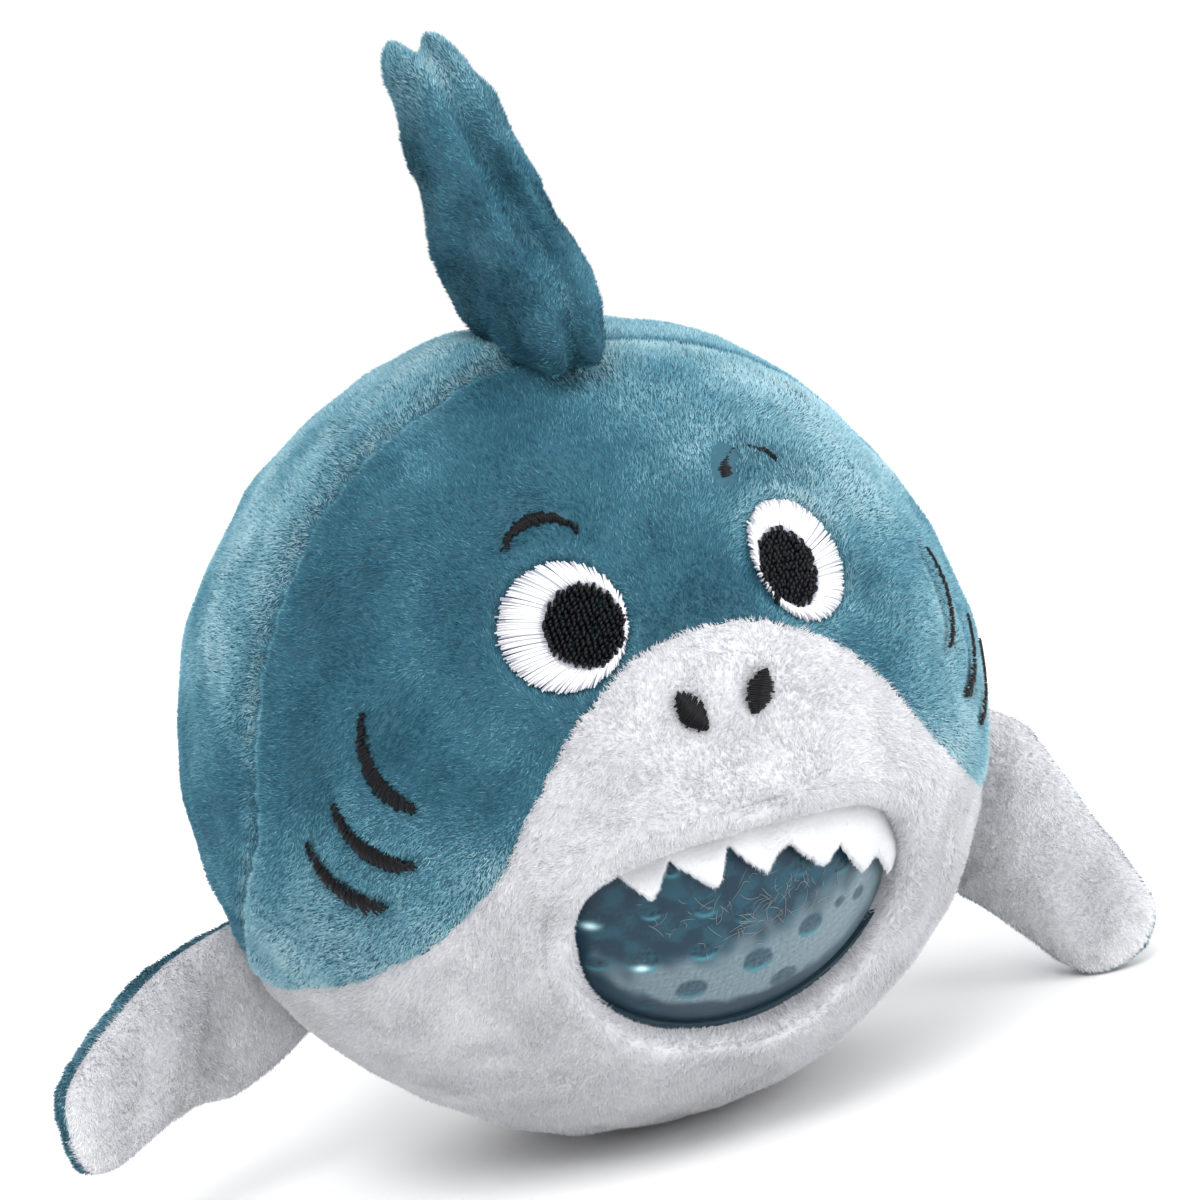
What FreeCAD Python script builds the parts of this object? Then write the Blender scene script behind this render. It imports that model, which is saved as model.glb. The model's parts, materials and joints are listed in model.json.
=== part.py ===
import FreeCAD, Part
import math
import os

import Sketcher
from FreeCAD import Placement, Rotation, Vector

# A round plush shark: a stitched cover drawn over a rubber ball that is filled with tinted
# gel and water beads. The ball shows in the open mouth and bulges out of it when squeezed.
# +Z is up, the face looks along -Y, +X is the shark's left side, and the origin lies on
# the floor under the middle of the ball. Every length is in millimetres.

os.makedirs("parts", exist_ok=True)
doc = FreeCAD.newDocument("plush_shark")

# ---------------------------------------------------------------- driving sizes
SIZES = [
    ("ball_radius", 48.0, "outside of the cover"),
    ("foot_radius", 9.0, "flat patch under the ball"),
    ("cover_wall", 3.5, "cover cloth with its pile"),
    ("lining_wall", 2.1, "wadding between cover and gel ball"),
    ("layer_gap", 0.1, "play between two layers"),
    ("skin_wall", 1.0, "rubber skin of the gel ball"),
    ("stitch_sink", 0.6, "depth of the embroidery in the pile"),
    ("stitch_rise", 0.3, "height of the embroidery over the pile"),
    ("part_gap", 0.4, "play around every moving piece"),
    ("seam_front", 14.5, "side seam in front of the middle, upper run"),
    ("seam_rear", 14.0, "side seam behind the middle, lower run"),
    ("seam_bend_top", 20.0, "height over the centre where the seam starts to bend"),
    ("seam_bend_low", 30.0, "depth under the centre where the bend ends"),
    ("white_top", 14.5, "top of the white muzzle over the centre"),
    ("white_half", 23.0, "half width of the muzzle at its flanks"),
    ("white_flank", 1.0, "flank of the muzzle under the centre"),
    ("white_side_x", 33.6, "point on the cheek border"),
    ("white_side_z", 12.6, "its depth under the centre"),
    ("white_end_x", 50.0, "outer end of the cheek border"),
    ("white_low", 23.0, "white border at the side seam under the centre"),
    ("mouth_pitch", 24.0, "mouth axis under the horizontal, degrees"),
    ("mouth_half", 20.4, "half width of the mouth"),
    ("mouth_drop", 13.2, "lower lip under the mouth axis"),
    ("mouth_rise", 12.0, "upper lip over the mouth axis"),
    ("lip_half", 18.0, "half width of the upper lip"),
    ("lip_end", 7.5, "upper lip's ends over the mouth axis"),
    ("hem_wide", 2.2, "turned hem around the mouth"),
    ("tooth_pitch", 6.2, "width of one tooth"),
    ("tooth_start", 16.8, "strip's end on the right side"),
    ("tooth_band", 1.3, "band over the notches"),
    ("tooth_high", 5.2, "band and tooth together"),
    ("tooth_wall", 0.9, "thickness of the tooth felt"),
    ("bulge_half", 16.5, "half width of the ball's free dome"),
    ("bulge_high", 8.5, "half height of the free dome"),
    ("bulge_drop", 3.3, "dome's middle under the mouth axis"),
    ("bulge_rise", 1.2, "dome over the ball's skin"),
    ("bulge_depth", 13.0, "depth of the dome's gel"),
    ("bead_radius", 1.7, "water bead"),
    ("plug_radius", 3.0, "filling plug"),
    ("eye_side", 18.9, "eye from the middle, degrees"),
    ("eye_lift", 23.0, "eye over the horizontal, degrees"),
    ("eye_radius", 7.2, "white of the eye"),
    ("pupil_side", 16.8, "pupil from the middle, degrees"),
    ("pupil_lift", 22.4, "pupil over the horizontal, degrees"),
    ("pupil_radius", 4.2, "pupil"),
    ("brow_side", 19.8, "brow's centre from the middle, degrees"),
    ("brow_lift", 34.2, "brow's centre over the horizontal, degrees"),
    ("brow_radius", 4.4, "brow's arc"),
    ("brow_wide", 1.0, "brow's thread band"),
    ("nostril_side", 5.0, "nostril from the middle, degrees"),
    ("nostril_lift", 8.0, "nostril over the horizontal, degrees"),
    ("nostril_long", 5.2, "nostril's length"),
    ("nostril_wide", 2.3, "nostril's width"),
    ("nostril_slant", 36.0, "nostril's lean, degrees"),
    ("gill_side", 40.0, "first gill's centre from the middle, degrees"),
    ("gill_lift", 12.0, "first gill's centre over the horizontal, degrees"),
    ("gill_side_step", 6.3, "next gill farther round, degrees"),
    ("gill_lift_step", 8.0, "next gill lower, degrees"),
    ("gill_radius", 8.9, "gill's arc"),
    ("gill_wide", 1.7, "gill's thread band"),
    ("gill_sweep", 100.0, "gill's arc length, degrees"),
    ("flipper_base", 9.0, "radius of the flipper's root"),
    ("flipper_tip", 5.8, "radius of the flipper's tip"),
    ("flipper_long", 24.0, "root centre to tip centre"),
    ("flipper_thick", 8.0, "stuffed flipper"),
    ("fin_wall", 1.6, "cloth and pile of fins and flippers"),
    ("flipper_edge", 2.4, "rounding of the flipper's rim"),
    ("flipper_off", 10.6, "root centre over the ball"),
    ("flipper_back", 0.21, "root behind the middle, share of the radius"),
    ("flipper_low", 0.42, "root under the centre, share of the radius"),
    ("right_sweep", 38.0, "right flipper's forward sweep, degrees"),
    ("right_droop", 12.0, "right flipper's droop, degrees"),
    ("left_sweep", 38.0, "left flipper's forward sweep, degrees"),
    ("left_droop", 57.0, "left flipper's droop, degrees"),
    ("dorsal_turn", 76.6, "dorsal fin's middle over the front, degrees"),
    ("dorsal_thick", 11.0, "stuffed dorsal fin"),
    ("dorsal_edge", 3.0, "rounding of the dorsal fin's rim"),
    ("fin_corner", 3.3, "rounding of the dorsal fin's corners"),
    ("dorsal_off", 7.0, "dorsal hinge over the ball"),
    ("tail_lift", 4.0, "tail over the horizontal, degrees"),
    ("tail_thick", 7.0, "stuffed tail fin"),
    ("tail_edge", 2.0, "rounding of the tail fin's rim"),
    ("tail_corner", 2.2, "rounding of the tail fin's corners"),
    ("tail_off", 5.0, "tail hinge over the ball"),
]

sheet = doc.addObject("Spreadsheet::Sheet", "Sizes")
for row, (alias, number, note) in enumerate(SIZES, start=1):
    sheet.set("A%d" % row, note)
    sheet.set("B%d" % row, "%g" % number)
    sheet.setAlias("B%d" % row, alias)
row = len(SIZES) + 1
sheet.set("A%d" % row, "ball's centre over the floor")
sheet.set("B%d" % row, "=sqrt(ball_radius^2 - foot_radius^2)")
sheet.setAlias("B%d" % row, "centre_height")
doc.recompute()


def size(alias):
    """The number in the sheet's cell of that alias."""
    return float(sheet.get(alias))


CENTRE = Vector(0, 0, size("centre_height"))


def toward(side, lift):
    """Unit vector: side degrees from the front to the shark's left, lift degrees up."""
    a = math.radians(side)
    e = math.radians(lift)
    return Vector(math.sin(a) * math.cos(e), -math.cos(a) * math.cos(e), math.sin(e))


def facing(side, lift, spin=0.0):
    """Frame at the ball's centre: z out along the direction, x level, y up, spun about z."""
    out = toward(side, lift)
    level = Vector(math.cos(math.radians(side)), math.sin(math.radians(side)), 0)
    up = out.cross(level)
    turn = Rotation(level, up, out, "ZXY")
    return Placement(CENTRE, turn.multiply(Rotation(Vector(0, 0, 1), spin)))


# ---------------------------------------------------------------- building blocks
def sphere(name, radius):
    """A whole sphere about the ball's centre; radius is an expression on the sheet."""
    thing = doc.addObject("Part::Sphere", name)
    thing.setExpression("Radius", radius)
    thing.setExpression("Placement.Base.z", "Sizes.centre_height")
    return thing


def cut(name, base, tool):
    """What is left of base outside tool."""
    thing = doc.addObject("Part::Cut", name)
    thing.Base = base
    thing.Tool = tool
    return thing


def common(name, *things):
    """What the solids have in common."""
    thing = doc.addObject("Part::MultiCommon", name)
    thing.Shapes = list(things)
    return thing


def fuse(name, *things):
    """The solids joined into one."""
    thing = doc.addObject("Part::MultiFuse", name)
    thing.Shapes = list(things)
    return thing


def shell(name, outer, inner):
    """The hollow ball between two radii, given as expressions."""
    return cut(name, sphere(name + "_out", outer), sphere(name + "_in", inner))


def rod(name, place, radius, angle="360"):
    """A rod from the ball's centre outwards, or a slice of it angle degrees wide."""
    thing = doc.addObject("Part::Cylinder", name)
    thing.Placement = place
    thing.setExpression("Radius", radius)
    thing.setExpression("Height", "Sizes.ball_radius * 1.4")
    thing.setExpression("Angle", angle)
    return thing


def outline(sketch, corners, joins):
    """Closed outline: corner expressions joined by lines, or arcs given a point on the way."""
    value = [(sheet_value(a), sheet_value(b)) for a, b in corners]
    count = len(corners)
    ends = []
    for i in range(count):
        start = Vector(value[i][0], value[i][1], 0)
        end = Vector(value[(i + 1) % count][0], value[(i + 1) % count][1], 0)
        if joins[i] is None:
            index = sketch.addGeometry(Part.LineSegment(start, end))
        else:
            way = Vector(sheet_value(joins[i][0]), sheet_value(joins[i][1]), 0)
            index = sketch.addGeometry(Part.Arc(start, way, end))
        first = sketch.getPoint(index, 1)
        near = (first - start).Length < (first - end).Length
        ends.append((index, 1 if near else 2, 2 if near else 1))
    for i in range(count):
        index, first, last = ends[i]
        after, after_first, unused = ends[(i + 1) % count]
        sketch.addConstraint(Sketcher.Constraint("Coincident", index, last, after, after_first))
    for i in range(count):
        index, first, last = ends[i]
        for kind, cell, number in (("DistanceX", corners[i][0], value[i][0]),
                                   ("DistanceY", corners[i][1], value[i][1])):
            tie = sketch.addConstraint(Sketcher.Constraint(kind, index, first, number))
            if isinstance(cell, str):
                sketch.setExpression("Constraints[%d]" % tie, cell)
        if joins[i] is not None:
            round_part = sketch.Geometry[index]
            sketch.addConstraint(Sketcher.Constraint("Radius", index, round_part.Radius))


probe = doc.addObject("App::FeaturePython", "probe")
probe.addProperty("App::PropertyFloat", "Reading")


def sheet_value(expression):
    """The number an expression on the sheet comes to."""
    if isinstance(expression, (int, float)):
        return float(expression)
    return float(doc.getObject("probe").evalExpression(expression))


def prism(name, corners, joins, place, length, both=True):
    """A sketched outline pushed out along its normal, to both sides or forwards only."""
    sketch = doc.addObject("Sketcher::SketchObject", name + "_sketch")
    sketch.Placement = place
    outline(sketch, corners, joins)
    block = doc.addObject("Part::Extrusion", name)
    block.Base = sketch
    block.DirMode = "Normal"
    block.LengthFwd = length
    block.Symmetric = both
    block.Solid = True
    return block


NODES = []


def node(thing, label):
    """Names a finished piece and puts it on the list of pieces to write."""
    thing.Label = label
    NODES.append(thing)
    return thing


# ---------------------------------------------------------------- cover panels
SIDEWAYS = Placement(CENTRE, Rotation(Vector(1, 1, 1), 120))
FRONTAL = Placement(CENTRE, Rotation(Vector(1, 0, 0), 90))
FAR = 70.0

floor = doc.addObject("Part::Box", "floor")
floor.Length = 4 * FAR
floor.Width = 4 * FAR
floor.Height = FAR
floor.Placement.Base = Vector(-2 * FAR, -2 * FAR, -FAR)

cover = cut("cover_shell", shell("cover_ball", "Sizes.ball_radius",
                                 "Sizes.ball_radius - Sizes.cover_wall"), floor)

front_block = prism(
    "front_block",
    [(-FAR, FAR), ("-Sizes.seam_front", FAR), ("-Sizes.seam_front", "Sizes.seam_bend_top"),
     ("(Sizes.seam_rear - Sizes.seam_front) / 2", "(Sizes.seam_bend_top - Sizes.seam_bend_low) / 2"),
     ("Sizes.seam_rear", "-Sizes.seam_bend_low"), ("Sizes.seam_rear", -FAR), (-FAR, -FAR)],
    [None, None,
     ("-Sizes.seam_front * 0.75", "Sizes.seam_bend_top * 0.35"),
     ("Sizes.seam_rear * 0.73", "-Sizes.seam_bend_low * 0.567"),
     None, None, None],
    SIDEWAYS, 2 * FAR)

teal_block = prism(
    "teal_block",
    [(-FAR, FAR), (-FAR, "-Sizes.white_low"), ("-Sizes.white_end_x", "-Sizes.white_low"),
     ("-Sizes.white_half", "-Sizes.white_flank"), ("Sizes.white_half", "-Sizes.white_flank"),
     ("Sizes.white_end_x", "-Sizes.white_low"), (FAR, "-Sizes.white_low"), (FAR, FAR)],
    [None, None, ("-Sizes.white_side_x", "-Sizes.white_side_z"), (0.0, "Sizes.white_top"),
     ("Sizes.white_side_x", "-Sizes.white_side_z"), None, None, None],
    FRONTAL, 2 * FAR)

mouth_frame = facing(0.0, -size("mouth_pitch"))


def mouth_block(name, extra):
    """A D-shaped prism along the mouth's axis, extra wider all round."""
    half = "(Sizes.mouth_half + %s)" % extra
    drop = "(Sizes.mouth_drop + %s)" % extra
    rise = "(Sizes.mouth_rise + %s)" % extra
    lip = "(Sizes.lip_half + 0.7 * %s)" % extra
    end = "(Sizes.lip_end + 0.8 * %s)" % extra
    return prism(name, [("-" + half, 0.0), (half, 0.0), (lip, end), ("-" + lip, end)],
                 [(0.0, "-" + drop), None, (0.0, rise), None], mouth_frame, FAR, both=False)


mouth_hole = mouth_block("mouth_hole", "0")
hem_hole = mouth_block("hem_hole", "Sizes.hem_wide")

back_top = doc.addObject("Part::Box", "back_top")
back_top.Length = 2 * FAR
back_top.Width = 2 * FAR
back_top.Height = 2 * FAR
back_top.Placement.Base = Vector(-FAR, -FAR, 0)
back_top.setExpression("Placement.Base.z", "Sizes.centre_height - Sizes.white_low")

left_half = doc.addObject("Part::Box", "left_half")
left_half.Length = 2 * FAR
left_half.Width = 4 * FAR
left_half.Height = 4 * FAR
left_half.Placement.Base = Vector(0, -2 * FAR, -FAR)

front_cover = common("front_cover", cover, front_block)
back_cover = cut("back_cover", cover, front_block)
back_teal = common("back_teal", back_cover, back_top)

face_plain = common("face_plain", front_cover, teal_block)
belly_plain = cut("belly_plain", cut("belly_whole", front_cover, teal_block), hem_hole)

# ---------------------------------------------------------------- embroidery
stitch_layer = shell("stitch_layer", "Sizes.ball_radius + Sizes.stitch_rise",
                     "Sizes.ball_radius - Sizes.stitch_sink")


def arc_band(name, place, radius, wide, sweep):
    """A slice of a tube wall: radius at mid wall, wide across it, sweep degrees round."""
    outer = rod(name + "_outer", place, "%s + %s / 2" % (radius, wide), sweep)
    inner = rod(name + "_inner", place, "%s - %s / 2" % (radius, wide), sweep)
    return cut(name + "_band", outer, inner)


patches = []
for word, sign in (("right", -1), ("left", 1)):
    pupil = rod(word + "_pupil_rod", facing(sign * size("pupil_side"), size("pupil_lift")),
                "Sizes.pupil_radius")
    white = rod(word + "_white_rod", facing(sign * size("eye_side"), size("eye_lift")),
                "Sizes.eye_radius")
    eye_patch = common(word + "_eye_patch", white, stitch_layer)
    node(cut(word + "_eye_white_cut", eye_patch, pupil), word + "_eye_white")
    node(common(word + "_pupil_cut", pupil, stitch_layer), word + "_pupil")

    start = 15.0
    brow_place = facing(sign * size("brow_side"), size("brow_lift"), start)
    brow = arc_band(word + "_brow_arc", brow_place, "Sizes.brow_radius", "Sizes.brow_wide", "150")
    brow_patch = node(common(word + "_brow_cut", brow, stitch_layer), word + "_brow")

    long = size("nostril_long")
    wide = size("nostril_wide")
    bow = (long * long + wide * wide) / (4 * wide)
    lean = sign * size("nostril_slant")
    spot = facing(sign * size("nostril_side"), size("nostril_lift"), -lean)
    sides = []
    for way in (-1, 1):
        shifted = spot.multiply(Placement(Vector(way * (bow - wide / 2), 0, 0), Rotation()))
        side = rod("%s_nostril_rod%d" % (word, way + 1), shifted,
                   "(Sizes.nostril_long^2 + Sizes.nostril_wide^2) / (4 * Sizes.nostril_wide)")
        sides.append(side)
    almond = common(word + "_almond", *sides)
    nostril_patch = node(common(word + "_nostril_cut", almond, stitch_layer), word + "_nostril")

    bands = []
    for step in range(3):
        spin = 156.0 if sign < 0 else 24.0 - size("gill_sweep")
        place = facing(sign * (size("gill_side") + step * size("gill_side_step")),
                       size("gill_lift") - step * size("gill_lift_step"), spin)
        bands.append(arc_band("%s_gill%d" % (word, step), place, "Sizes.gill_radius",
                              "Sizes.gill_wide", "Sizes.gill_sweep"))
    gills = fuse(word + "_gill_bands", *bands)
    gill_patch = node(common(word + "_gill_cut", gills, stitch_layer), word + "_gill_stitches")
    patches += [eye_patch, NODES[-4], brow_patch, gill_patch, nostril_patch]

teal_patches = fuse("teal_patches", *[p for p in patches if "nostril" not in p.Name])
white_patches = fuse("white_patches", *[p for p in patches if "nostril" in p.Name])

node(cut("face_panel_cut", face_plain, teal_patches), "face_panel")
node(cut("belly_panel_cut", belly_plain, white_patches), "belly_panel")
node(common("back_left_cut", back_teal, left_half), "back_panel_left")
node(cut("back_right_cut", back_teal, left_half), "back_panel_right")
node(cut("rear_belly_cut", back_cover, back_top), "rear_belly_panel")

# ---------------------------------------------------------------- mouth hem, lining
hem_ring = cut("hem_ring", hem_hole, mouth_hole)
node(common("mouth_hem_cut", hem_ring, cover), "mouth_hem")

lining_ball = shell("lining_ball",
                    "Sizes.ball_radius - Sizes.cover_wall - Sizes.layer_gap",
                    "Sizes.ball_radius - Sizes.cover_wall - Sizes.lining_wall")
node(cut("lining_cut", lining_ball, hem_hole), "wadding_lining")

# ---------------------------------------------------------------- gel ball
SKIN_OUT = "(Sizes.ball_radius - Sizes.cover_wall - Sizes.lining_wall - Sizes.layer_gap)"
SKIN_IN = "(%s - Sizes.skin_wall)" % SKIN_OUT


def dome_block(name, extra, near):
    """An oval prism along the mouth's axis that starts at near (an expression) from the centre."""
    oval = doc.addObject("Part::Ellipse", name + "_oval")
    oval.setExpression("MajorRadius", "Sizes.bulge_half + %s" % extra)
    oval.setExpression("MinorRadius", "Sizes.bulge_high + %s" % extra)
    drop = Placement(Vector(0, -size("bulge_drop"), sheet_value(near)), Rotation())
    oval.Placement = mouth_frame.multiply(drop)
    block = doc.addObject("Part::Extrusion", name)
    block.Base = oval
    block.DirMode = "Custom"
    block.Dir = mouth_frame.Rotation.multVec(Vector(0, 0, 1))
    block.LengthFwd = FAR
    block.Solid = True
    return block


DOME_FLOOR = "%s - Sizes.bulge_depth" % SKIN_OUT
dome_well = dome_block("dome_well", "Sizes.part_gap", "%s - Sizes.part_gap" % DOME_FLOOR)
dome_core = dome_block("dome_core", "0", DOME_FLOOR)

plug_rod = rod("plug_rod", facing(180.0, -18.0), "Sizes.plug_radius")
skin_ball = shell("skin_ball", SKIN_OUT, SKIN_IN)
skin_open = cut("skin_open", skin_ball, dome_well)
node(cut("gel_skin_cut", skin_open, plug_rod), "gel_skin")
node(common("fill_plug_cut", skin_ball, plug_rod), "fill_plug")


def beads(name, depth, spots):
    """Small balls at depth under the skin, at (side, lift) degrees; depth is an expression."""
    balls = []
    for i, (side, lift) in enumerate(spots):
        bead = doc.addObject("Part::Sphere", "%s%d" % (name, i))
        bead.setExpression("Radius", "Sizes.bead_radius")
        bead.Placement = Placement(CENTRE + toward(side, lift) * sheet_value(depth), Rotation())
        balls.append(bead)
    return fuse(name, *balls)


BEAD_DEPTH = "%s - Sizes.bead_radius - 0.6" % SKIN_IN
ball_spots = [(side + 9.0 * (lift > 0), lift) for lift in (-64.0, -10.0, 18.0, 46.0)
              for side in (50.0, 98.0, 150.0, 202.0, 250.0, 306.0)]
bead_group = beads("bead_group", BEAD_DEPTH, ball_spots)
gel_room = cut("gel_room", sphere("gel_ball", SKIN_IN + " - Sizes.layer_gap"), dome_well)
node(cut("gel_fill_cut", gel_room, bead_group), "gel_fill")
node(bead_group, "water_beads")

DOME_OUT = "%s + Sizes.bulge_rise" % SKIN_OUT
dome_skin_ball = shell("dome_skin_ball", DOME_OUT, DOME_OUT + " - Sizes.skin_wall")
node(common("dome_skin_cut", dome_core, dome_skin_ball), "bulge_skin")
dome_spots = [(side, lift) for lift, row_sides in ((-21.0, (-14.0, -5.0, 5.0, 14.0)),
                                                   (-28.0, (-18.0, -9.0, 0.0, 9.0, 18.0)),
                                                   (-35.0, (-12.0, -3.0, 7.0)))
              for side in row_sides]
dome_beads = beads("dome_beads", "%s - Sizes.skin_wall - Sizes.bead_radius - 0.5" % DOME_OUT,
                   dome_spots)
dome_gel_ball = sphere("dome_gel_ball", DOME_OUT + " - Sizes.skin_wall - Sizes.layer_gap")
dome_gel = common("dome_gel", dome_core, dome_gel_ball)
node(cut("dome_gel_cut", dome_gel, dome_beads), "bulge_gel")
node(dome_beads, "bulge_beads")

# ---------------------------------------------------------------- tooth strip
TEETH = 5
START = "-Sizes.tooth_start"


def lip_height(across):
    """Upper lip over the mouth axis at a distance across: a flat parabola."""
    return ("(Sizes.mouth_rise - (Sizes.mouth_rise - Sizes.lip_end)"
            " * (%s)^2 / Sizes.lip_half^2)" % across)


zigzag = []
for tooth in range(TEETH + 1):
    left = "(%s + %d * Sizes.tooth_pitch)" % (START, tooth)
    middle = "(%s + %g * Sizes.tooth_pitch)" % (START, tooth + 0.5)
    zigzag.append((left, lip_height(left) + " - Sizes.tooth_band - Sizes.part_gap"))
    zigzag.append((middle, lip_height(middle) + " - Sizes.tooth_high - Sizes.part_gap"))
last = "(%s + %g * Sizes.tooth_pitch)" % (START, TEETH + 0.5)
upper = []
for stop in range(TEETH, 0, -1):
    across = "(%s + %d * Sizes.tooth_pitch)" % (START, stop)
    upper.append((across, lip_height(across) + " - Sizes.part_gap - 0.3"))
top_right = (last, lip_height(last) + " - Sizes.part_gap - 0.6")
top_left = (START, lip_height(START) + " - Sizes.part_gap - 0.6")
teeth_block = prism("teeth_block", zigzag + [top_right] + upper + [top_left],
                    [None] * (len(zigzag) + len(upper) + 2), mouth_frame, FAR, both=False)
felt = shell("tooth_felt", "%s + 0.8 + Sizes.tooth_wall" % DOME_OUT, DOME_OUT + " + 0.8")
node(common("tooth_strip_cut", teeth_block, felt), "tooth_strip")


# ---------------------------------------------------------------- stuffed fins
def plane_of(body, role):
    """The body's own origin plane of that role."""
    for feature in body.Origin.OriginFeatures:
        if feature.Role == role:
            return feature
    raise ValueError(role)


def rim_edges(shape, height):
    """Names of the edges that lie in the face at that height."""
    names = []
    for i, edge in enumerate(shape.Edges, start=1):
        box = edge.BoundBox
        if abs(box.ZMin - height) < 1e-4 and abs(box.ZMax - height) < 1e-4:
            names.append("Edge%d" % i)
    return names


def sketch_on(body, name, corners, joins):
    """A closed sketch on the body's XY plane."""
    sketch = body.newObject("Sketcher::SketchObject", name)
    sketch.AttachmentSupport = (plane_of(body, "XY_Plane"), [""])
    sketch.MapMode = "FlatFace"
    outline(sketch, corners, joins)
    return sketch


def upright_edges(shape):
    """Names of the edges that stand at right angles to the outline's plane."""
    names = []
    for i, edge in enumerate(shape.Edges, start=1):
        box = edge.BoundBox
        if box.XLength < 1e-4 and box.YLength < 1e-4:
            names.append("Edge%d" % i)
    return names


def half_panel(label, outer, inner, thick, edge, place, under, corner=None):
    """One cloth half of a stuffed fin: a padded outline, rim rounded, hollowed for stuffing."""
    body = doc.addObject("PartDesign::Body", label + "_body")
    pad = body.newObject("PartDesign::Pad", label + "_pad")
    pad.Profile = sketch_on(body, label + "_outer", *outer)
    pad.setExpression("Length", "%s / 2" % thick)
    pad.Reversed = under
    doc.recompute()
    base = pad
    if corner is not None:
        base = body.newObject("PartDesign::Fillet", label + "_corners")
        base.Base = (pad, upright_edges(pad.Shape))
        base.setExpression("Radius", corner)
        doc.recompute()
    height = sheet_value("%s / 2" % thick) * (-1 if under else 1)
    rim = body.newObject("PartDesign::Fillet", label + "_rim")
    rim.Base = (base, rim_edges(base.Shape, height))
    rim.setExpression("Radius", edge)
    doc.recompute()
    room = body.newObject("PartDesign::Pocket", label + "_room")
    room.Profile = sketch_on(body, label + "_inner", *inner)
    room.setExpression("Length", "%s / 2 - Sizes.fin_wall" % thick)
    room.Reversed = not under
    doc.recompute()
    if room.Shape.Volume > rim.Shape.Volume - 1.0:
        room.Reversed = under
        doc.recompute()
    body.Placement = place
    return node(body, label)


def stuffing(label, inner, thick, place):
    """The wadding that fills a fin between its two cloth halves."""
    body = doc.addObject("PartDesign::Body", label + "_body")
    pad = body.newObject("PartDesign::Pad", label + "_pad")
    pad.Profile = sketch_on(body, label + "_sketch", *inner)
    pad.setExpression("Length", "%s - 2 * Sizes.fin_wall - Sizes.layer_gap" % thick)
    pad.Midplane = True
    body.Placement = place
    return node(body, label)


def paddle(inset):
    """Flipper outline: a round root and a smaller round tip joined by straight sides."""
    base = "(Sizes.flipper_base - (%s))" % inset
    tip = "(Sizes.flipper_tip - (%s))" % inset
    lean = "acos((Sizes.flipper_base - Sizes.flipper_tip) / Sizes.flipper_long)"
    far = "Sizes.flipper_long"
    base_x = "%s * cos(%s)" % (base, lean)
    base_y = "%s * sin(%s)" % (base, lean)
    tip_x = "%s + %s * cos(%s)" % (far, tip, lean)
    tip_y = "%s * sin(%s)" % (tip, lean)
    corners = [(base_x, base_y), (base_x, "-%s" % base_y), (tip_x, "-%s" % tip_y), (tip_x, tip_y)]
    joins = [("-" + base, 0.0), None, ("%s + %s" % (far, tip), 0.0), None]
    return corners, joins


def shrink(corners, joins, inset):
    """The same outline drawn in toward its middle by about inset, on all sides."""
    xs = [sheet_value(x) for x, y in corners]
    ys = [sheet_value(y) for x, y in corners]
    mid_x = (max(xs) + min(xs)) / 2
    mid_y = (max(ys) + min(ys)) / 2
    share_x = 1 - 2 * inset / (max(xs) - min(xs))
    share_y = 1 - 2 * inset / (max(ys) - min(ys))

    def move(point):
        """One point, drawn in."""
        return (mid_x + (sheet_value(point[0]) - mid_x) * share_x,
                mid_y + (sheet_value(point[1]) - mid_y) * share_y)

    return [move(c) for c in corners], [None if j is None else move(j) for j in joins]


def flipper_frame(sign, sweep, droop):
    """Frame at the flipper's root: x along it, z out of its upper cloth."""
    s = math.radians(sweep)
    d = math.radians(droop)
    along = Vector(sign * math.cos(s) * math.cos(d), -math.sin(s), -math.cos(s) * math.sin(d))
    down = Vector(-sign * math.sin(d), 0, -math.cos(d))
    top = down.cross(along) * -sign
    back = size("flipper_back")
    low = size("flipper_low")
    out = Vector(sign * math.sqrt(1 - back * back - low * low), back, -low)
    root = CENTRE + out * (size("ball_radius") + size("flipper_off"))
    return Placement(root, Rotation(along, top.cross(along), top, "ZXY"))


for word, sign in (("right", -1), ("left", 1)):
    place = flipper_frame(sign, size(word + "_sweep"), size(word + "_droop"))
    if place.Rotation.multVec(Vector(0, 0, 1)).y < 0:
        place = place.multiply(Placement(Vector(), Rotation(Vector(1, 0, 0), 180)))
    whole = paddle("0")
    inside = paddle("Sizes.fin_wall")
    thick = "Sizes.flipper_thick"
    half_panel(word + "_flipper_top", whole, inside, thick, "Sizes.flipper_edge", place, False)
    half_panel(word + "_flipper_under", whole, inside, thick, "Sizes.flipper_edge", place, True)
    stuffing(word + "_flipper_stuffing", paddle("Sizes.fin_wall + Sizes.layer_gap"), thick, place)

turn = size("dorsal_turn")
dorsal_up = toward(0.0, turn)
dorsal_back = toward(0.0, turn - 90.0) * -1
dorsal_place = Placement(CENTRE + dorsal_up * (size("ball_radius") + size("dorsal_off")),
                         Rotation(dorsal_back, dorsal_up, dorsal_back.cross(dorsal_up), "ZXY"))
DORSAL = ([(-14.6, -5.4), (14.2, -5.4), (12.9, 8.0), (16.8, 25.6), (8.6, 25.6), (-5.4, 12.6),
           (-14.6, -0.6)], [None] * 7)
dorsal_inner = shrink(*DORSAL, size("fin_wall") + 0.6)
dorsal_core = shrink(*DORSAL, size("fin_wall") + 0.8)
thick = "Sizes.dorsal_thick"
half_panel("dorsal_left_panel", DORSAL, dorsal_inner, thick, "Sizes.dorsal_edge",
           dorsal_place, False, "Sizes.fin_corner")
half_panel("dorsal_right_panel", DORSAL, dorsal_inner, thick, "Sizes.dorsal_edge",
           dorsal_place, True, "Sizes.fin_corner")
stuffing("dorsal_stuffing", dorsal_core, thick, dorsal_place)

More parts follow.
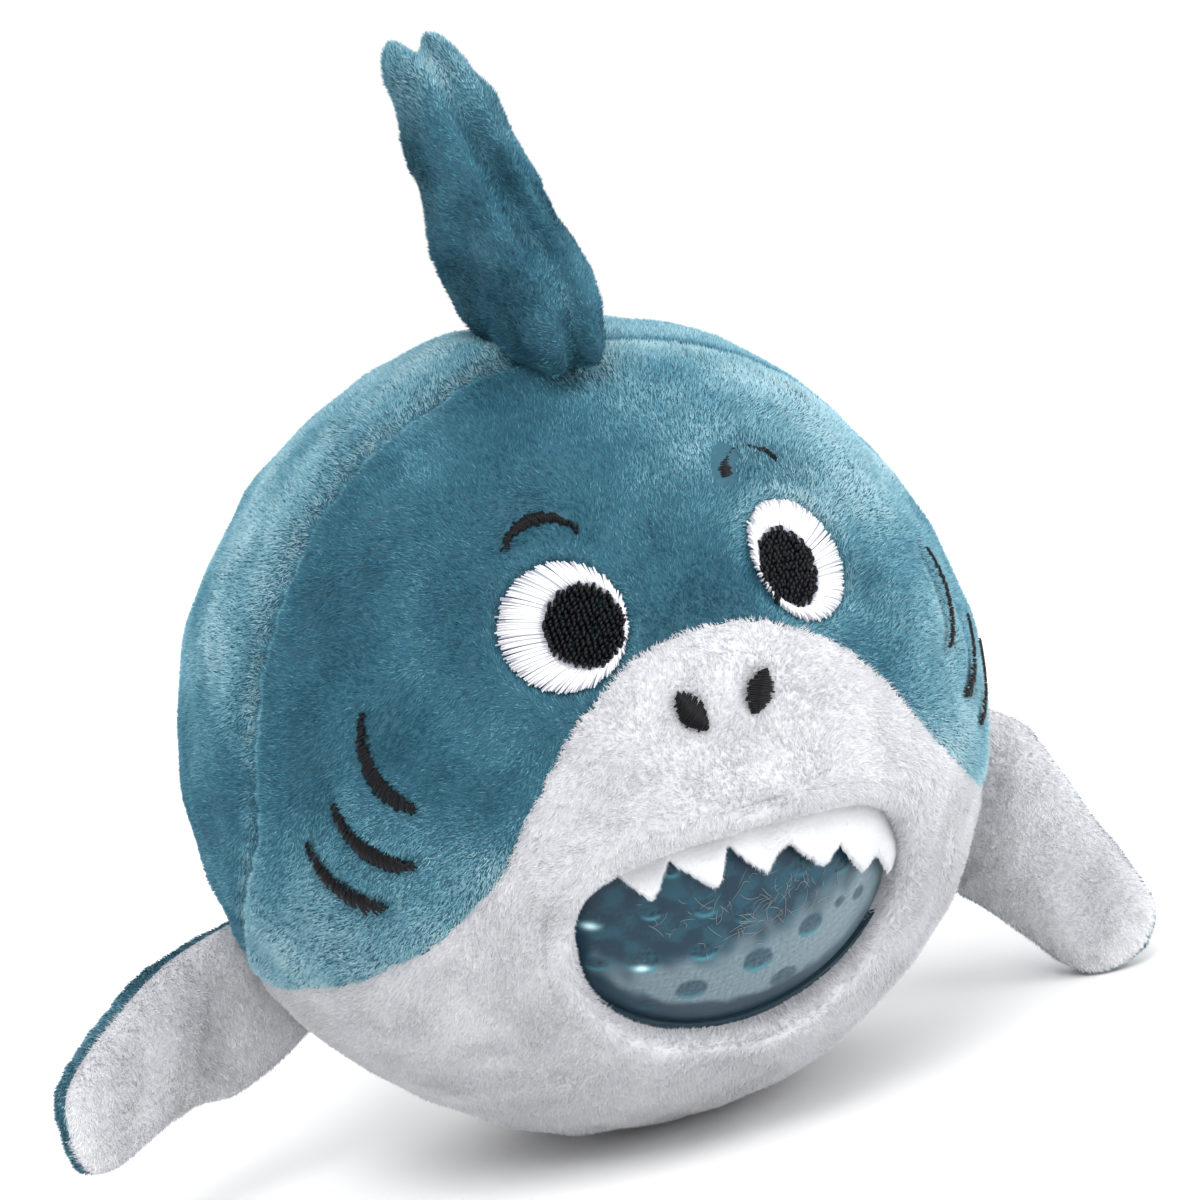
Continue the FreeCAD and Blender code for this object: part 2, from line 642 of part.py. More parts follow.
tail_out = toward(180.0, size("tail_lift"))
tail_up = toward(180.0, size("tail_lift") + 90.0)
tail_place = Placement(CENTRE + tail_out * (size("ball_radius") + size("tail_off")),
                       Rotation(tail_up, tail_out, tail_up.cross(tail_out), "ZXY"))
TAIL = ([(-5.4, -3.9), (5.4, -3.9), (5.4, 5.0), (14.0, 18.6), (8.0, 20.4), (0.0, 15.6),
         (-8.0, 20.4), (-14.0, 18.6), (-5.4, 5.0)], [None] * 9)
tail_inner = shrink(*TAIL, size("fin_wall") + 0.5)
tail_core = shrink(*TAIL, size("fin_wall") + 0.8)
thick = "Sizes.tail_thick"
half_panel("tail_right_panel", TAIL, tail_inner, thick, "Sizes.tail_edge", tail_place, False,
           "Sizes.tail_corner")
half_panel("tail_left_panel", TAIL, tail_inner, thick, "Sizes.tail_edge", tail_place, True,
           "Sizes.tail_corner")
stuffing("tail_stuffing", tail_core, thick, tail_place)

# ---------------------------------------------------------------- check and write
doc.recompute()
for thing in doc.Objects:
    if "Invalid" in thing.State or "Error" in thing.State:
        raise RuntimeError("%s is not valid: %s" % (thing.Label, thing.State))
for thing in NODES:
    shape = thing.Shape
    if shape.isNull() or not shape.isValid() or not shape.Solids:
        raise RuntimeError("%s has no valid solid" % thing.Label)
    shape.exportStep("parts/%s.step" % thing.Label)
    box = shape.BoundBox
    print("%-24s %9.1f mm3  x %6.1f %6.1f  y %6.1f %6.1f  z %6.1f %6.1f"
          % (thing.Label, shape.Volume, box.XMin, box.XMax, box.YMin, box.YMax,
             box.ZMin, box.ZMax))
print("pieces:", len(NODES))
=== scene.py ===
# %% [markdown]
# # A round plush shark, made around its CAD frame
# The toy is a stuffed ball of short-pile cloth with a gel-filled rubber ball inside, which
# shows in the open mouth. The frame gives every size and every joint. Here each piece of
# cloth, thread, felt and gel gets its true surface and finish.
# Most of the look is the pile, so it is real geometry: hundreds of thousands of tiny
# leaning blades, sown on smooth panels.

# %% Load the frame
import json

import bpy
import numpy as np
from mathutils import Matrix, Vector


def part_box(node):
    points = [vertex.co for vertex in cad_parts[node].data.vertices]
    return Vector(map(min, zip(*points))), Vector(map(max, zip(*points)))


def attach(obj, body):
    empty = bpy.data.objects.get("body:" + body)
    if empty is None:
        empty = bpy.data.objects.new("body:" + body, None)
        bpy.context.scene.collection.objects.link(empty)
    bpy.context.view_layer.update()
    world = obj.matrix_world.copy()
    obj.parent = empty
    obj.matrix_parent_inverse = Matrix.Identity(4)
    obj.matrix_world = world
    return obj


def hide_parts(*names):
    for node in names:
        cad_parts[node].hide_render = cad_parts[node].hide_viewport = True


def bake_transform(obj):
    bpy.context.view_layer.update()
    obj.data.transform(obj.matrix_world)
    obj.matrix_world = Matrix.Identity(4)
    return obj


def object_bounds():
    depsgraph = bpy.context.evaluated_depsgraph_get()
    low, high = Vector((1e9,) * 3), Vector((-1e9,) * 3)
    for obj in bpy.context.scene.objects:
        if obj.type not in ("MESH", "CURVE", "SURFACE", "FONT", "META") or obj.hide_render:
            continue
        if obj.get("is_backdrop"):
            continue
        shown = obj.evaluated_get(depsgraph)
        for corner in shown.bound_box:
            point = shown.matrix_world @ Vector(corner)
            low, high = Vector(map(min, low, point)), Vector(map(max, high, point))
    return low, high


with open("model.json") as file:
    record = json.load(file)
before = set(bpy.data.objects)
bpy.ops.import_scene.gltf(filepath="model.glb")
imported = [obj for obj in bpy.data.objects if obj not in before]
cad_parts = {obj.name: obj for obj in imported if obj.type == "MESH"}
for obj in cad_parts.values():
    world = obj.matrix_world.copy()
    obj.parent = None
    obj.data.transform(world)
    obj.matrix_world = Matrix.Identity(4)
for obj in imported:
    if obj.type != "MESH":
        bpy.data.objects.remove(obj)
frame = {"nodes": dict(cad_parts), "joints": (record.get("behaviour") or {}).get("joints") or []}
cad_low, cad_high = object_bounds()
MM = 0.001
chance = np.random.default_rng(20)
joints = {joint["name"]: joint for joint in frame["joints"]}

# %% [markdown]
# The ball's centre and radius come from the boxes of the back panel, because that piece
# reaches both the top and the rearmost point of the ball. The mouth looks along the axis on
# which the gel dome slides, so that axis gives the mouth its own directions:
# across (to the shark's left), up and out.

# %% Measure the ball and the mouth's directions
panel_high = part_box("back_panel_left")[1]
BALL = panel_high.y / MM
CENTRE = np.array([0.0, 0.0, panel_high.z / MM - BALL])
CLOTH = BALL - 0.7
MOUTH_OUT = np.array(joints["dome_slide"]["axis"])
ACROSS = np.array([1.0, 0.0, 0.0])
MOUTH_UP = np.cross(MOUTH_OUT, ACROSS)
print("ball radius %.2f mm, centre height %.2f mm" % (BALL, CENTRE[2]))

# %% [markdown]
# A few helpers are used everywhere. `ramp` eases from 0 to 1. `lumps` is a soft random
# field, a sum of sine waves in random directions, which makes stuffing uneven and pile
# patchy, and is the same on each run. All lengths are in millimetres until a mesh is made.


# %% Small helpers
def ramp(start, end, value):
    """Smooth step: 0 before start, 1 after end, 3t^2 - 2t^3 between."""
    t = np.clip((value - start) / (end - start), 0.0, 1.0)
    return t * t * (3.0 - 2.0 * t)


def unit(vectors):
    """Each row divided by its length."""
    return vectors / np.maximum(np.linalg.norm(vectors, axis=-1, keepdims=True), 1e-12)


def bell(distance, width):
    """exp(-(distance / width)^2), a soft bump."""
    return np.exp(-((distance / width) ** 2))


def lumps(points, size, seed, waves=20):
    """Sum of sines of random direction whose wavelength is about size, scaled to spread 1."""
    dice = np.random.default_rng(seed)
    turns = unit(dice.normal(size=(waves, 3))) * (2 * np.pi / size)
    turns *= dice.uniform(0.6, 1.5, (waves, 1))
    shifts = dice.uniform(0, 2 * np.pi, waves)
    return np.sin(points @ turns.T + shifts).sum(axis=-1) * np.sqrt(2.0 / waves)


def toward(side, lift):
    """Direction side degrees from the front to the shark's left, lift degrees up."""
    a, e = np.radians(side), np.radians(lift)
    return np.array([np.sin(a) * np.cos(e), -np.cos(a) * np.cos(e), np.sin(e)])


# %% [markdown]
# Each surface is a grid of points. `grid_faces` joins the grid's neighbours into triangles,
# `outward` turns them over if they came out facing in, and `make_mesh` puts points and
# triangles into a mesh with one material and smooth or flat shading. `join_body` hands the
# piece to its body; where cloth crosses a joint it only bakes the piece's transform.


# %% Turn arrays into pieces
def grid_faces(rows, columns, around=False, first=0):
    """Two triangles for each cell of a rows x columns grid, closed on itself if around."""
    r = np.arange(rows - 1)[:, None]
    c = np.arange(columns if around else columns - 1)[None, :]
    a = first + r * columns + c
    b = first + r * columns + (c + 1) % columns
    low = np.stack([a, b, b + columns], -1).reshape(-1, 3)
    high = np.stack([a, b + columns, a + columns], -1).reshape(-1, 3)
    return np.concatenate([low, high])


def normals_of(points, faces):
    """Each point's normal: the sum of its triangles' cross products, made unit length."""
    corner = points[faces]
    cross = np.cross(corner[:, 1] - corner[:, 0], corner[:, 2] - corner[:, 0])
    total = np.zeros_like(points)
    for side in range(3):
        for axis in range(3):
            total[:, axis] += np.bincount(faces[:, side], cross[:, axis], len(points))
    return unit(total)


def outward(points, faces, inside):
    """The same triangles, all turned over if most of them face the point inside."""
    corner = points[faces]
    cross = np.cross(corner[:, 1] - corner[:, 0], corner[:, 2] - corner[:, 0])
    if ((corner.mean(axis=1) - inside) * cross).sum() < 0:
        return faces[:, ::-1]
    return faces


def make_mesh(name, points, faces, material, shade_smooth=True):
    """Writes points (in mm) and triangles into a new mesh object with one material."""
    mesh = bpy.data.meshes.new(name)
    mesh.vertices.add(len(points))
    mesh.vertices.foreach_set("co", (points * MM).astype(np.float32).ravel())
    mesh.loops.add(faces.size)
    mesh.loops.foreach_set("vertex_index", faces.astype(np.int32).ravel())
    mesh.polygons.add(len(faces))
    mesh.polygons.foreach_set("loop_start", np.arange(0, faces.size, 3, dtype=np.int32))
    mesh.polygons.foreach_set("loop_total", np.full(len(faces), 3, np.int32))
    mesh.polygons.foreach_set("use_smooth", np.full(len(faces), shade_smooth))
    mesh.update(calc_edges=True)
    mesh.materials.append(material)
    piece = bpy.data.objects.new(name, mesh)
    bpy.context.scene.collection.objects.link(piece)
    return piece


def join_body(piece, body, replaced=(), bend=None):
    """Rides the piece on its body; with bend given, only bakes its transform in place, on no body."""
    if bend is None:
        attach(piece, body)
    else:
        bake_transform(piece)
    if replaced:
        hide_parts(*replaced)
    return piece


def used_only(points, faces):
    """Drops the points that no triangle uses, and renumbers the triangles."""
    used, numbers = np.unique(faces, return_inverse=True)
    return points[used], numbers.reshape(faces.shape)


# %% [markdown]
# The cloth's colours come from nodes. A noise at the size of one fibre and one at the size
# of a thumb print darken and lighten the backing cloth, and a fine bump breaks its gloss.
# Thread and pile are finer than any pattern on them would be, so they have one plain colour
# each and get their variety from several shades side by side. These shades also stand for
# light: paler ones are painted sheen, deeper or greyer ones painted shade.


# %% Materials
def shader(name, colour, roughness):
    """A new material and its Principled shader, with a plain colour and roughness."""
    material = bpy.data.materials.new(name)
    material.use_nodes = True
    base = material.node_tree.nodes["Principled BSDF"]
    base.inputs["Base Color"].default_value = (*colour, 1.0)
    base.inputs["Roughness"].default_value = roughness
    return material, base


def fibre(name, colour, roughness=0.75, sheen=0.0, tint=(1.0, 1.0, 1.0), gloss=0.3):
    """Plain dyed fibre: matt, with a sheen that brightens what is seen at a slant."""
    material, base = shader(name, colour, roughness)
    base.inputs["Sheen Weight"].default_value = sheen
    base.inputs["Sheen Roughness"].default_value = 0.4
    base.inputs["Sheen Tint"].default_value = (*tint, 1.0)
    base.inputs["Specular IOR Level"].default_value = gloss
    return material


def mottled(name, dark, light, grain, roughness=0.85, bump=0.3):
    """Backing cloth: two colours mixed by a fine noise plus a broad one, and a fine bump."""
    material, base = shader(name, dark, roughness)
    nodes, links = material.node_tree.nodes, material.node_tree.links
    place = nodes.new("ShaderNodeTexCoord")
    fine = nodes.new("ShaderNodeTexNoise")
    fine.inputs["Scale"].default_value = grain
    fine.inputs["Detail"].default_value = 3.0
    broad = nodes.new("ShaderNodeTexNoise")
    broad.inputs["Scale"].default_value = grain / 16.0
    both = nodes.new("ShaderNodeMath")
    both.operation = "MULTIPLY_ADD"
    both.inputs[1].default_value = 0.5
    spread = nodes.new("ShaderNodeMapRange")
    spread.inputs["From Min"].default_value = 0.45
    spread.inputs["From Max"].default_value = 1.05
    mix = nodes.new("ShaderNodeMix")
    mix.data_type = "RGBA"
    mix.inputs["A"].default_value = (*dark, 1.0)
    mix.inputs["B"].default_value = (*light, 1.0)
    ridge = nodes.new("ShaderNodeBump")
    ridge.inputs["Strength"].default_value = bump
    ridge.inputs["Distance"].default_value = 0.0002
    for noise in (fine, broad):
        links.new(place.outputs["Object"], noise.inputs["Vector"])
    links.new(fine.outputs["Fac"], both.inputs[0])
    links.new(broad.outputs["Fac"], both.inputs[2])
    links.new(both.outputs[0], spread.inputs["Value"])
    links.new(spread.outputs["Result"], mix.inputs["Factor"])
    links.new(mix.outputs["Result"], base.inputs["Base Color"])
    links.new(fine.outputs["Fac"], ridge.inputs["Height"])
    links.new(ridge.outputs["Normal"], base.inputs["Normal"])
    return material


# The teal backing is darker than the pile's dyes, so the gaps between blades read as painted shade.
TEAL_BACK = mottled("teal_backing", (0.010, 0.055, 0.085), (0.026, 0.110, 0.155), 1400.0)
WHITE_BACK = mottled("white_backing", (0.50, 0.505, 0.53), (0.58, 0.585, 0.61), 1400.0)
# Teal shade steps: tones of the dye, and also painted light, the pale ones painted sheen and the deep ones
# painted shade.
TEAL_TONES_AND_LIGHT = [(0.016, 0.092, 0.140), (0.038, 0.155, 0.222), (0.090, 0.255, 0.335),
             (0.190, 0.385, 0.460), (0.360, 0.545, 0.610)]
TEAL_PILE = [
    fibre("teal_pile_%d" % number, colour, 0.62, 0.06 + 0.05 * number, (0.7, 0.9, 0.95), 0.2)
    for number, colour in enumerate(TEAL_TONES_AND_LIGHT)
]
# White shades are lit and shaded copies of one white: the greyer ones are painted shade, and the brightest is
# painted light for the flippers.
WHITE_LIT_AND_SHADED = [(0.47, 0.475, 0.50), (0.53, 0.535, 0.565), (0.60, 0.605, 0.635), (0.76, 0.765, 0.79)]
WHITE_PILE = [
    fibre("white_pile_%d" % number, colour, 0.72, 0.10, gloss=0.2)
    for number, colour in enumerate(WHITE_LIT_AND_SHADED)
]
WHITE_THREAD = fibre("white_thread", (0.70, 0.705, 0.74), 0.33, 0.0, gloss=0.5)
# The grey thread lies under the white satin of the eyes and shows between its threads as painted shade.
PAINTED_SHADE_THREAD = fibre("shaded_thread", (0.36, 0.37, 0.42), 0.40, 0.0, gloss=0.4)
BLACK_THREAD = fibre("black_thread", (0.0015, 0.0015, 0.0030), 0.36, 0.0, gloss=0.20)
FELT = mottled("tooth_felt", (0.58, 0.595, 0.62), (0.70, 0.71, 0.73), 2200.0, bump=0.6)
print("materials:", len(bpy.data.materials))

# %% [markdown]
# ## The cover's shape
# The cover is sewn from a face, a belly, two back panels and a rear belly panel. Two curves
# part them. The side seam bends backwards as it comes down the flank, and the border between
# teal and white climbs from each cheek over the snout. The cloth dips in along every seam
# and swells beside it, which is what makes a sewn ball look soft.


# %% Where the panels meet
def seam_line(height):
    """The side seam's y at a height over the ball's centre: two levels joined by an S."""
    t = np.clip((7.0 - height) / 36.0, 0.0, 1.0)
    return -14.5 + 28.5 * (6 * t**5 - 15 * t**4 + 10 * t**3)


def seam_wave(points):
    """-1 to 1 along the side seam, one wave per few stitches, where the cloth puckers."""
    along = np.arctan2(points[..., 2], np.abs(points[..., 0])) * CLOTH
    return np.sin(along / 0.62 + 1.6 * lumps(points, 12.0, 5))


def seam_shows(points):
    """1 where the side seam lies open, near 0 where the pile closes over it, high on the
    shark's left."""
    return 1.0 - 0.93 * ramp(1.0, 9.0, points[..., 0]) * ramp(16.0, 32.0, points[..., 2])


def seam_gap(points):
    """Distance from the side seam, negative in front of it, for points about the centre."""
    return (points[..., 1] - seam_line(points[..., 2])) * 0.8


def border_line(across):
    """Height of the white muzzle's edge: a power curve on the snout, then a fading slope."""
    x = np.abs(across)
    snout = 14.5 - 15.5 * (np.minimum(x, 23.0) / 23.0) ** 2.3
    return snout - 24.0 * (1.0 - np.exp(-np.maximum(x - 23.0, 0.0) / 14.5))


def border_gap(points):
    """Distance over the teal and white border, negative in the white, on front and back."""
    front = (points[..., 2] - border_line(points[..., 0])) * 0.75
    rear = points[..., 2] + 21.5
    return np.where(seam_gap(points) < 0, front, rear)


# %% [markdown]
# Embroidery pulls the pile cloth down, so the cover dips a little under each stitched
# patch. The patches are laid out on the ball with `spot`: a place to the side and up, in
# degrees, and then millimetres across and up from there.

# %% Where the embroidery sits
EYE = (18.9, 23.0)
EYE_REACH = {-1: (7.15, 7.35, 0.0), 1: (5.95, 7.35, -9.0)}
PUPIL_OFFSET = (-2.3, -0.7)
PUPIL_REACH = {-1: (4.4, 4.75, 0.0), 1: (3.6, 4.7, -14.0)}
BROW = {-1: (19.0, 33.3), 1: (20.8, 35.2)}
NOSTRIL = (5.0, 8.0)
GILLS = [(39.4, 12.8, 158.0, 247.0), (45.6, 6.3, 186.0, 270.0), (51.6, 1.0, 184.0, 270.0)]
GILL_RADIUS = 8.9


def spot(side, lift, across, up, height):
    """Point on the ball: across and up mm from a place given in degrees, height mm over it."""
    out = toward(side, lift)
    level = np.array([np.cos(np.radians(side)), np.sin(np.radians(side)), 0.0])
    above = np.cross(out, level)
    flat = out * BALL + np.multiply.outer(across, level) + np.multiply.outer(up, above)
    return unit(flat) * (CLOTH + np.asarray(height)[..., None])


def gill_path(step, sign, share):
    """Across and up on gill number step, share 0 to 1 down its arc of a circle."""
    start, end = np.radians(GILLS[step][2:])
    angle = start + (end - start) * share
    return -sign * GILL_RADIUS * np.cos(angle), GILL_RADIUS * np.sin(angle)


def gill_points(step, sign, share):
    """The same arc as points on the cloth."""
    side, lift = GILLS[step][:2]
    across, up = gill_path(step, sign, share)
    return spot(sign * side, lift, across, up, np.zeros(len(share)))


def near_line(places, line, reach):
    """True where a place is within reach of a line's points; far places are skipped early."""
    middle = line.mean(axis=0)
    span = np.linalg.norm(line - middle, axis=1).max() + reach
    close = np.linalg.norm(places - middle, axis=1) < span
    apart = np.linalg.norm(places[close][:, None] - line, axis=-1).min(axis=1)
    close[close] = apart < reach
    return close


def patch_dips(points):
    """Depth of the dip under the embroidery: soft bells round eyes, nostrils and gills."""
    depth = np.zeros(points.shape[:-1])
    for sign in (-1, 1):
        eye = np.linalg.norm(points - toward(sign * EYE[0], EYE[1]) * CLOTH, axis=-1)
        depth += 0.75 * (1.0 - ramp(6.3, 8.6, eye))
        nose = np.linalg.norm(points - toward(sign * NOSTRIL[0], NOSTRIL[1]) * CLOTH, axis=-1)
        depth += 0.9 * bell(nose, 2.2)
        for step in range(len(GILLS)):
            path = gill_points(step, sign, np.linspace(0.0, 1.0, 9))
            apart = np.linalg.norm(points[..., None, :] - path, axis=-1).min(axis=-1)
            depth += 0.55 * bell(apart, 1.6)
    return depth


# %% [markdown]
# The mouth is a rounded D: flat above, full below. The cover is a polar grid about the
# mouth, so its first rows can roll the cloth over the lip and down to the gel ball, and its
# last row closes on the far side of the ball. The upper lip is puffed out, and hides the
# root of the teeth.


# %% Work out the cover
def mouth_edge(angle):
    """The D's distance from the mouth's axis at an angle: an ellipse with squarer powers."""
    upper, left = np.sin(angle) > 0, np.cos(angle) > 0
    rise = np.where(upper, 12.2, 17.4)
    power = np.where(upper, np.where(left, 2.3, 2.9), 2.1)
    wide = np.abs(np.cos(angle) / 21.0) ** power
    high = np.abs(np.sin(angle) / rise) ** power
    return (wide + high) ** (-1.0 / power)


def mouth_dir(angle, turn):
    """Direction at an angle about the mouth's axis, turned away from the axis by turn."""
    round_it = np.multiply.outer(np.cos(angle), ACROSS) + np.multiply.outer(np.sin(angle), MOUTH_UP)
    return np.cos(turn)[..., None] * MOUTH_OUT + np.sin(turn)[..., None] * round_it


def cover_radius(directions, past_lip):
    """The cloth's radius: the ball, uneven stuffing, seams pulled in, dips, and the lip."""
    points = directions * CLOTH
    radius = CLOTH + 0.22 * lumps(points, 26.0, 3) + 0.10 * lumps(points, 9.0, 4)
    seam = seam_gap(points)
    shows = seam_shows(points)
    radius -= shows * (1.3 + 0.5 * seam_wave(points)) * bell(seam, 1.0)
    radius += shows * 0.40 * bell(np.abs(seam) - 3.4, 2.0)
    border = border_gap(points)
    radius -= 0.35 * bell(border, 1.0)
    back_seam = np.where(seam > 2.0, np.abs(points[..., 0]), 99.0)
    radius -= 0.7 * bell(back_seam, 1.0) * (points[..., 2] > -21.0)
    radius -= patch_dips(points)
    cheek = np.linalg.norm(points - unit(np.array([0.921, -0.266, 0.285])) * CLOTH, axis=-1)
    radius -= 1.7 * bell(cheek, 17.0)
    height = points @ MOUTH_UP
    upper = ramp(2.0, 11.0, height)
    radius += upper * (1.5 * bell(past_lip - 4.2, 3.6) + 0.5 * bell(past_lip, 2.0))
    radius += (1.0 - upper) * 0.2 * bell(past_lip - 3.5, 3.0)
    return radius


COLUMNS = 480
OUT_ROWS = 236
ROLL = 1.9
angles = np.linspace(0, 2 * np.pi, COLUMNS, endpoint=False)
edge_turn = np.arcsin(mouth_edge(angles) / BALL)
roll_angle = np.linspace(np.pi, np.pi / 2, 9)[:-1]
wall_drop = np.linspace(4.6, ROLL, 7)[:-1]
past = np.concatenate([0.25 * (wall_drop - ROLL), ROLL * (1 + np.cos(roll_angle))])
drop = np.concatenate([wall_drop, ROLL * (1 - np.sin(roll_angle))])
lip_turn = edge_turn[None, :] + past[:, None] / BALL
share = np.linspace(0, 1, OUT_ROWS)[:, None]
start_turn = edge_turn[None, :] + ROLL / BALL
far_turn = start_turn + (np.pi - start_turn) * share
turn = np.concatenate([lip_turn, far_turn])
directions = mouth_dir(np.broadcast_to(angles, turn.shape), turn)
past_lip = (turn - edge_turn[None, :]) * BALL
radius = cover_radius(directions, past_lip)
radius[: len(past)] -= drop[:, None]
cover_points = directions * radius[..., None] + CENTRE
cover_points[..., 2] = np.maximum(cover_points[..., 2], 0.35)
cover_points[-1] = cover_points[-1].mean(axis=0)
rows = len(turn)
print("cover grid %d x %d" % (rows, COLUMNS))

# %% [markdown]
# The grid is now cut into its panels by where each triangle's middle lies, along slightly
# wavy borders. Each panel gets a real thickness, inwards.

# %% Cut the panels
flat_points = cover_points.reshape(-1, 3)
cover_faces = outward(flat_points, grid_faces(rows, COLUMNS, around=True), CENTRE)
pole = (rows - 1) * COLUMNS
cover_faces = np.where(cover_faces >= pole, pole, cover_faces)
closed = (
    (cover_faces[:, 0] != cover_faces[:, 1])
    & (cover_faces[:, 1] != cover_faces[:, 2])
    & (cover_faces[:, 2] != cover_faces[:, 0])
)
cover_faces = cover_faces[closed]
cover_normals = normals_of(flat_points, cover_faces)
middles = flat_points[cover_faces].mean(axis=1) - CENTRE
row_of = cover_faces.min(axis=1) // COLUMNS
hem = row_of < len(past) + 2


def panels_at(places):
    """Which panel each place belongs to, as a mask for each panel, with slightly wavy edges."""
    front = seam_gap(places) < 0
    teal = border_gap(places) + 0.10 * lumps(places, 3.0, 8) > 0
    on_left = places[:, 0] > 0
    return {
        "face_panel": front & teal,
        "belly_panel": front & ~teal,
        "back_panel_left": ~front & teal & on_left,
        "back_panel_right": ~front & teal & ~on_left,
        "rear_belly_panel": ~front & ~teal,
    }


panel_masks = {name: mask & ~hem for name, mask in panels_at(middles).items()}
panel_masks["mouth_hem"] = hem
TEAL_PANELS = ("face_panel", "back_panel_left", "back_panel_right")

for name, mask in panel_masks.items():
    is_teal = name in TEAL_PANELS
    panel_points, panel_faces = used_only(flat_points, cover_faces[mask])
    panel = make_mesh(
        name + "_cloth", panel_points, panel_faces, TEAL_BACK if is_teal else WHITE_BACK
    )
    wall = panel.modifiers.new("cloth_wall", "SOLIDIFY")
    wall.thickness = 1.1 * MM
    wall.offset = -1.0
    join_body(panel, "cover", [name])
    print(name, len(panel_faces), "triangles")

# %% [markdown]
# ## The pile
# One blade of pile is one narrow triangle that leans along the nap. Blades are sown evenly
# over a panel's area. A slow random field turns the nap here and there and, with a bias for
# each part, picks which shade is commoner; that gives the brushed patches of short plush, and
# the bias also paints light and shade. Every shade is a piece of its own, so each keeps one
# plain colour: a dye tone, partly a lit or shaded copy of it.


# %% Sow pile on a surface
DENSITY = 28.0
BLADE = 0.75
BLADE_WIDE = 0.165
BLADE_LIFT = 40.0


def sow(points, faces, normals, nap, avoid=None, per_mm2=DENSITY, length=BLADE, lean=BLADE_LIFT,
        wide=BLADE_WIDE):
    """Blades on triangles chosen by area: root x, tip x + L (n sin e + t cos e), where t is
    the nap made tangent and turned a little, e the lift from the cloth, L the length."""
    corner = points[faces]
    cross = np.cross(corner[:, 1] - corner[:, 0], corner[:, 2] - corner[:, 0])
    area = np.linalg.norm(cross, axis=1) / 2
    count = int(area.sum() * per_mm2)
    pick = np.searchsorted(np.cumsum(area), chance.random(count) * area.sum())
    pick = np.minimum(pick, len(faces) - 1)
    u, v = chance.random((2, count))
    fold = u + v > 1
    u, v = np.where(fold, 1 - u, u), np.where(fold, 1 - v, v)
    weights = np.stack([1 - u - v, u, v], -1)[..., None]
    root = (corner[pick] * weights).sum(axis=1)
    normal = unit((normals[faces[pick]] * weights).sum(axis=1))
    if avoid is not None:
        keep = ~avoid(root)
        root, normal = root[keep], normal[keep]
    flow = nap(root)
    flow = unit(flow - (flow * normal).sum(axis=1, keepdims=True) * normal)
    swirl = 0.40 * lumps(root, 16.0, 31) + chance.normal(0, 0.35, len(root))
    side = np.cross(normal, flow)
    flow = flow * np.cos(swirl)[:, None] + side * np.sin(swirl)[:, None]
    lift = np.radians(lean) * (1 + 0.18 * lumps(root, 8.0, 32))
    lift = np.clip(lift + chance.normal(0, 0.16, len(root)), 0.12, 1.3)[:, None]
    aim = normal * np.sin(lift) + flow * np.cos(lift)
    long = length * chance.uniform(0.7, 1.2, len(root))[:, None]
    twist = chance.normal(0, 0.5, len(root))[:, None]
    span = np.cross(aim, normal)
    span = unit(unit(span) * np.cos(twist) + np.cross(aim, unit(span)) * np.sin(twist))
    span *= wide / 2
    root = root - normal * 0.12
    blades = np.stack([root - span, root + span, root + aim * long], axis=1)
    facing_out = (np.cross(2 * span, aim) * normal).sum(axis=1) > 0
    blades[~facing_out] = blades[~facing_out][:, [1, 0, 2]]
    blades[..., 2] = np.maximum(blades[..., 2], 0.04)
    return blades


def pile_pieces(name, blades, shades, bias, body, bend=None):
    """Splits blades into one piece per shade: a slow field, a bias and chance pick which."""
    root = blades[:, 0]
    level = bias(root) + 0.28 * lumps(root, 13.0, 33) + 0.12 * lumps(root, 4.0, 34)
    level = level + chance.normal(0, 0.52, len(root))
    which = np.clip(np.round(level), 0, len(shades) - 1).astype(int)
    for number, material in enumerate(shades):
        chosen = blades[which == number].reshape(-1, 3)
        if not len(chosen):
            continue
        faces = np.arange(len(chosen)).reshape(-1, 3)
        piece = make_mesh("%s_pile_%d" % (name, number), chosen, faces, material, False)
        join_body(piece, body, (), bend)
    print(name, "pile:", len(blades), "blades")


# %% [markdown]
# The nap on the face runs from the snout back over the head and down the cheeks; on the
# back it runs down to the tail, and on the belly down and back. Blades stay off the stitched
# patches. The back panels, crown and cheeks show more of the pale shade, partly brushed nap
# and partly painted sheen where light grazes the pile, and the forehead shows more of the
# deep one, painted shade. The white pile is greyer under the mouth and behind: painted shade.


# %% Nap, shade and bare patches of the cover
def cover_nap(root):
    """Away from the mouth over the ball, plus a pull down on flanks and back."""
    away = root - CENTRE
    return unit(-np.broadcast_to(MOUTH_OUT, root.shape) * 0.8 + unit(away) * 0.1) + np.array(
        [0.0, 0.25, -0.75]
    ) * ramp(-5.0, 30.0, np.abs(away[:, 0]))[:, None]


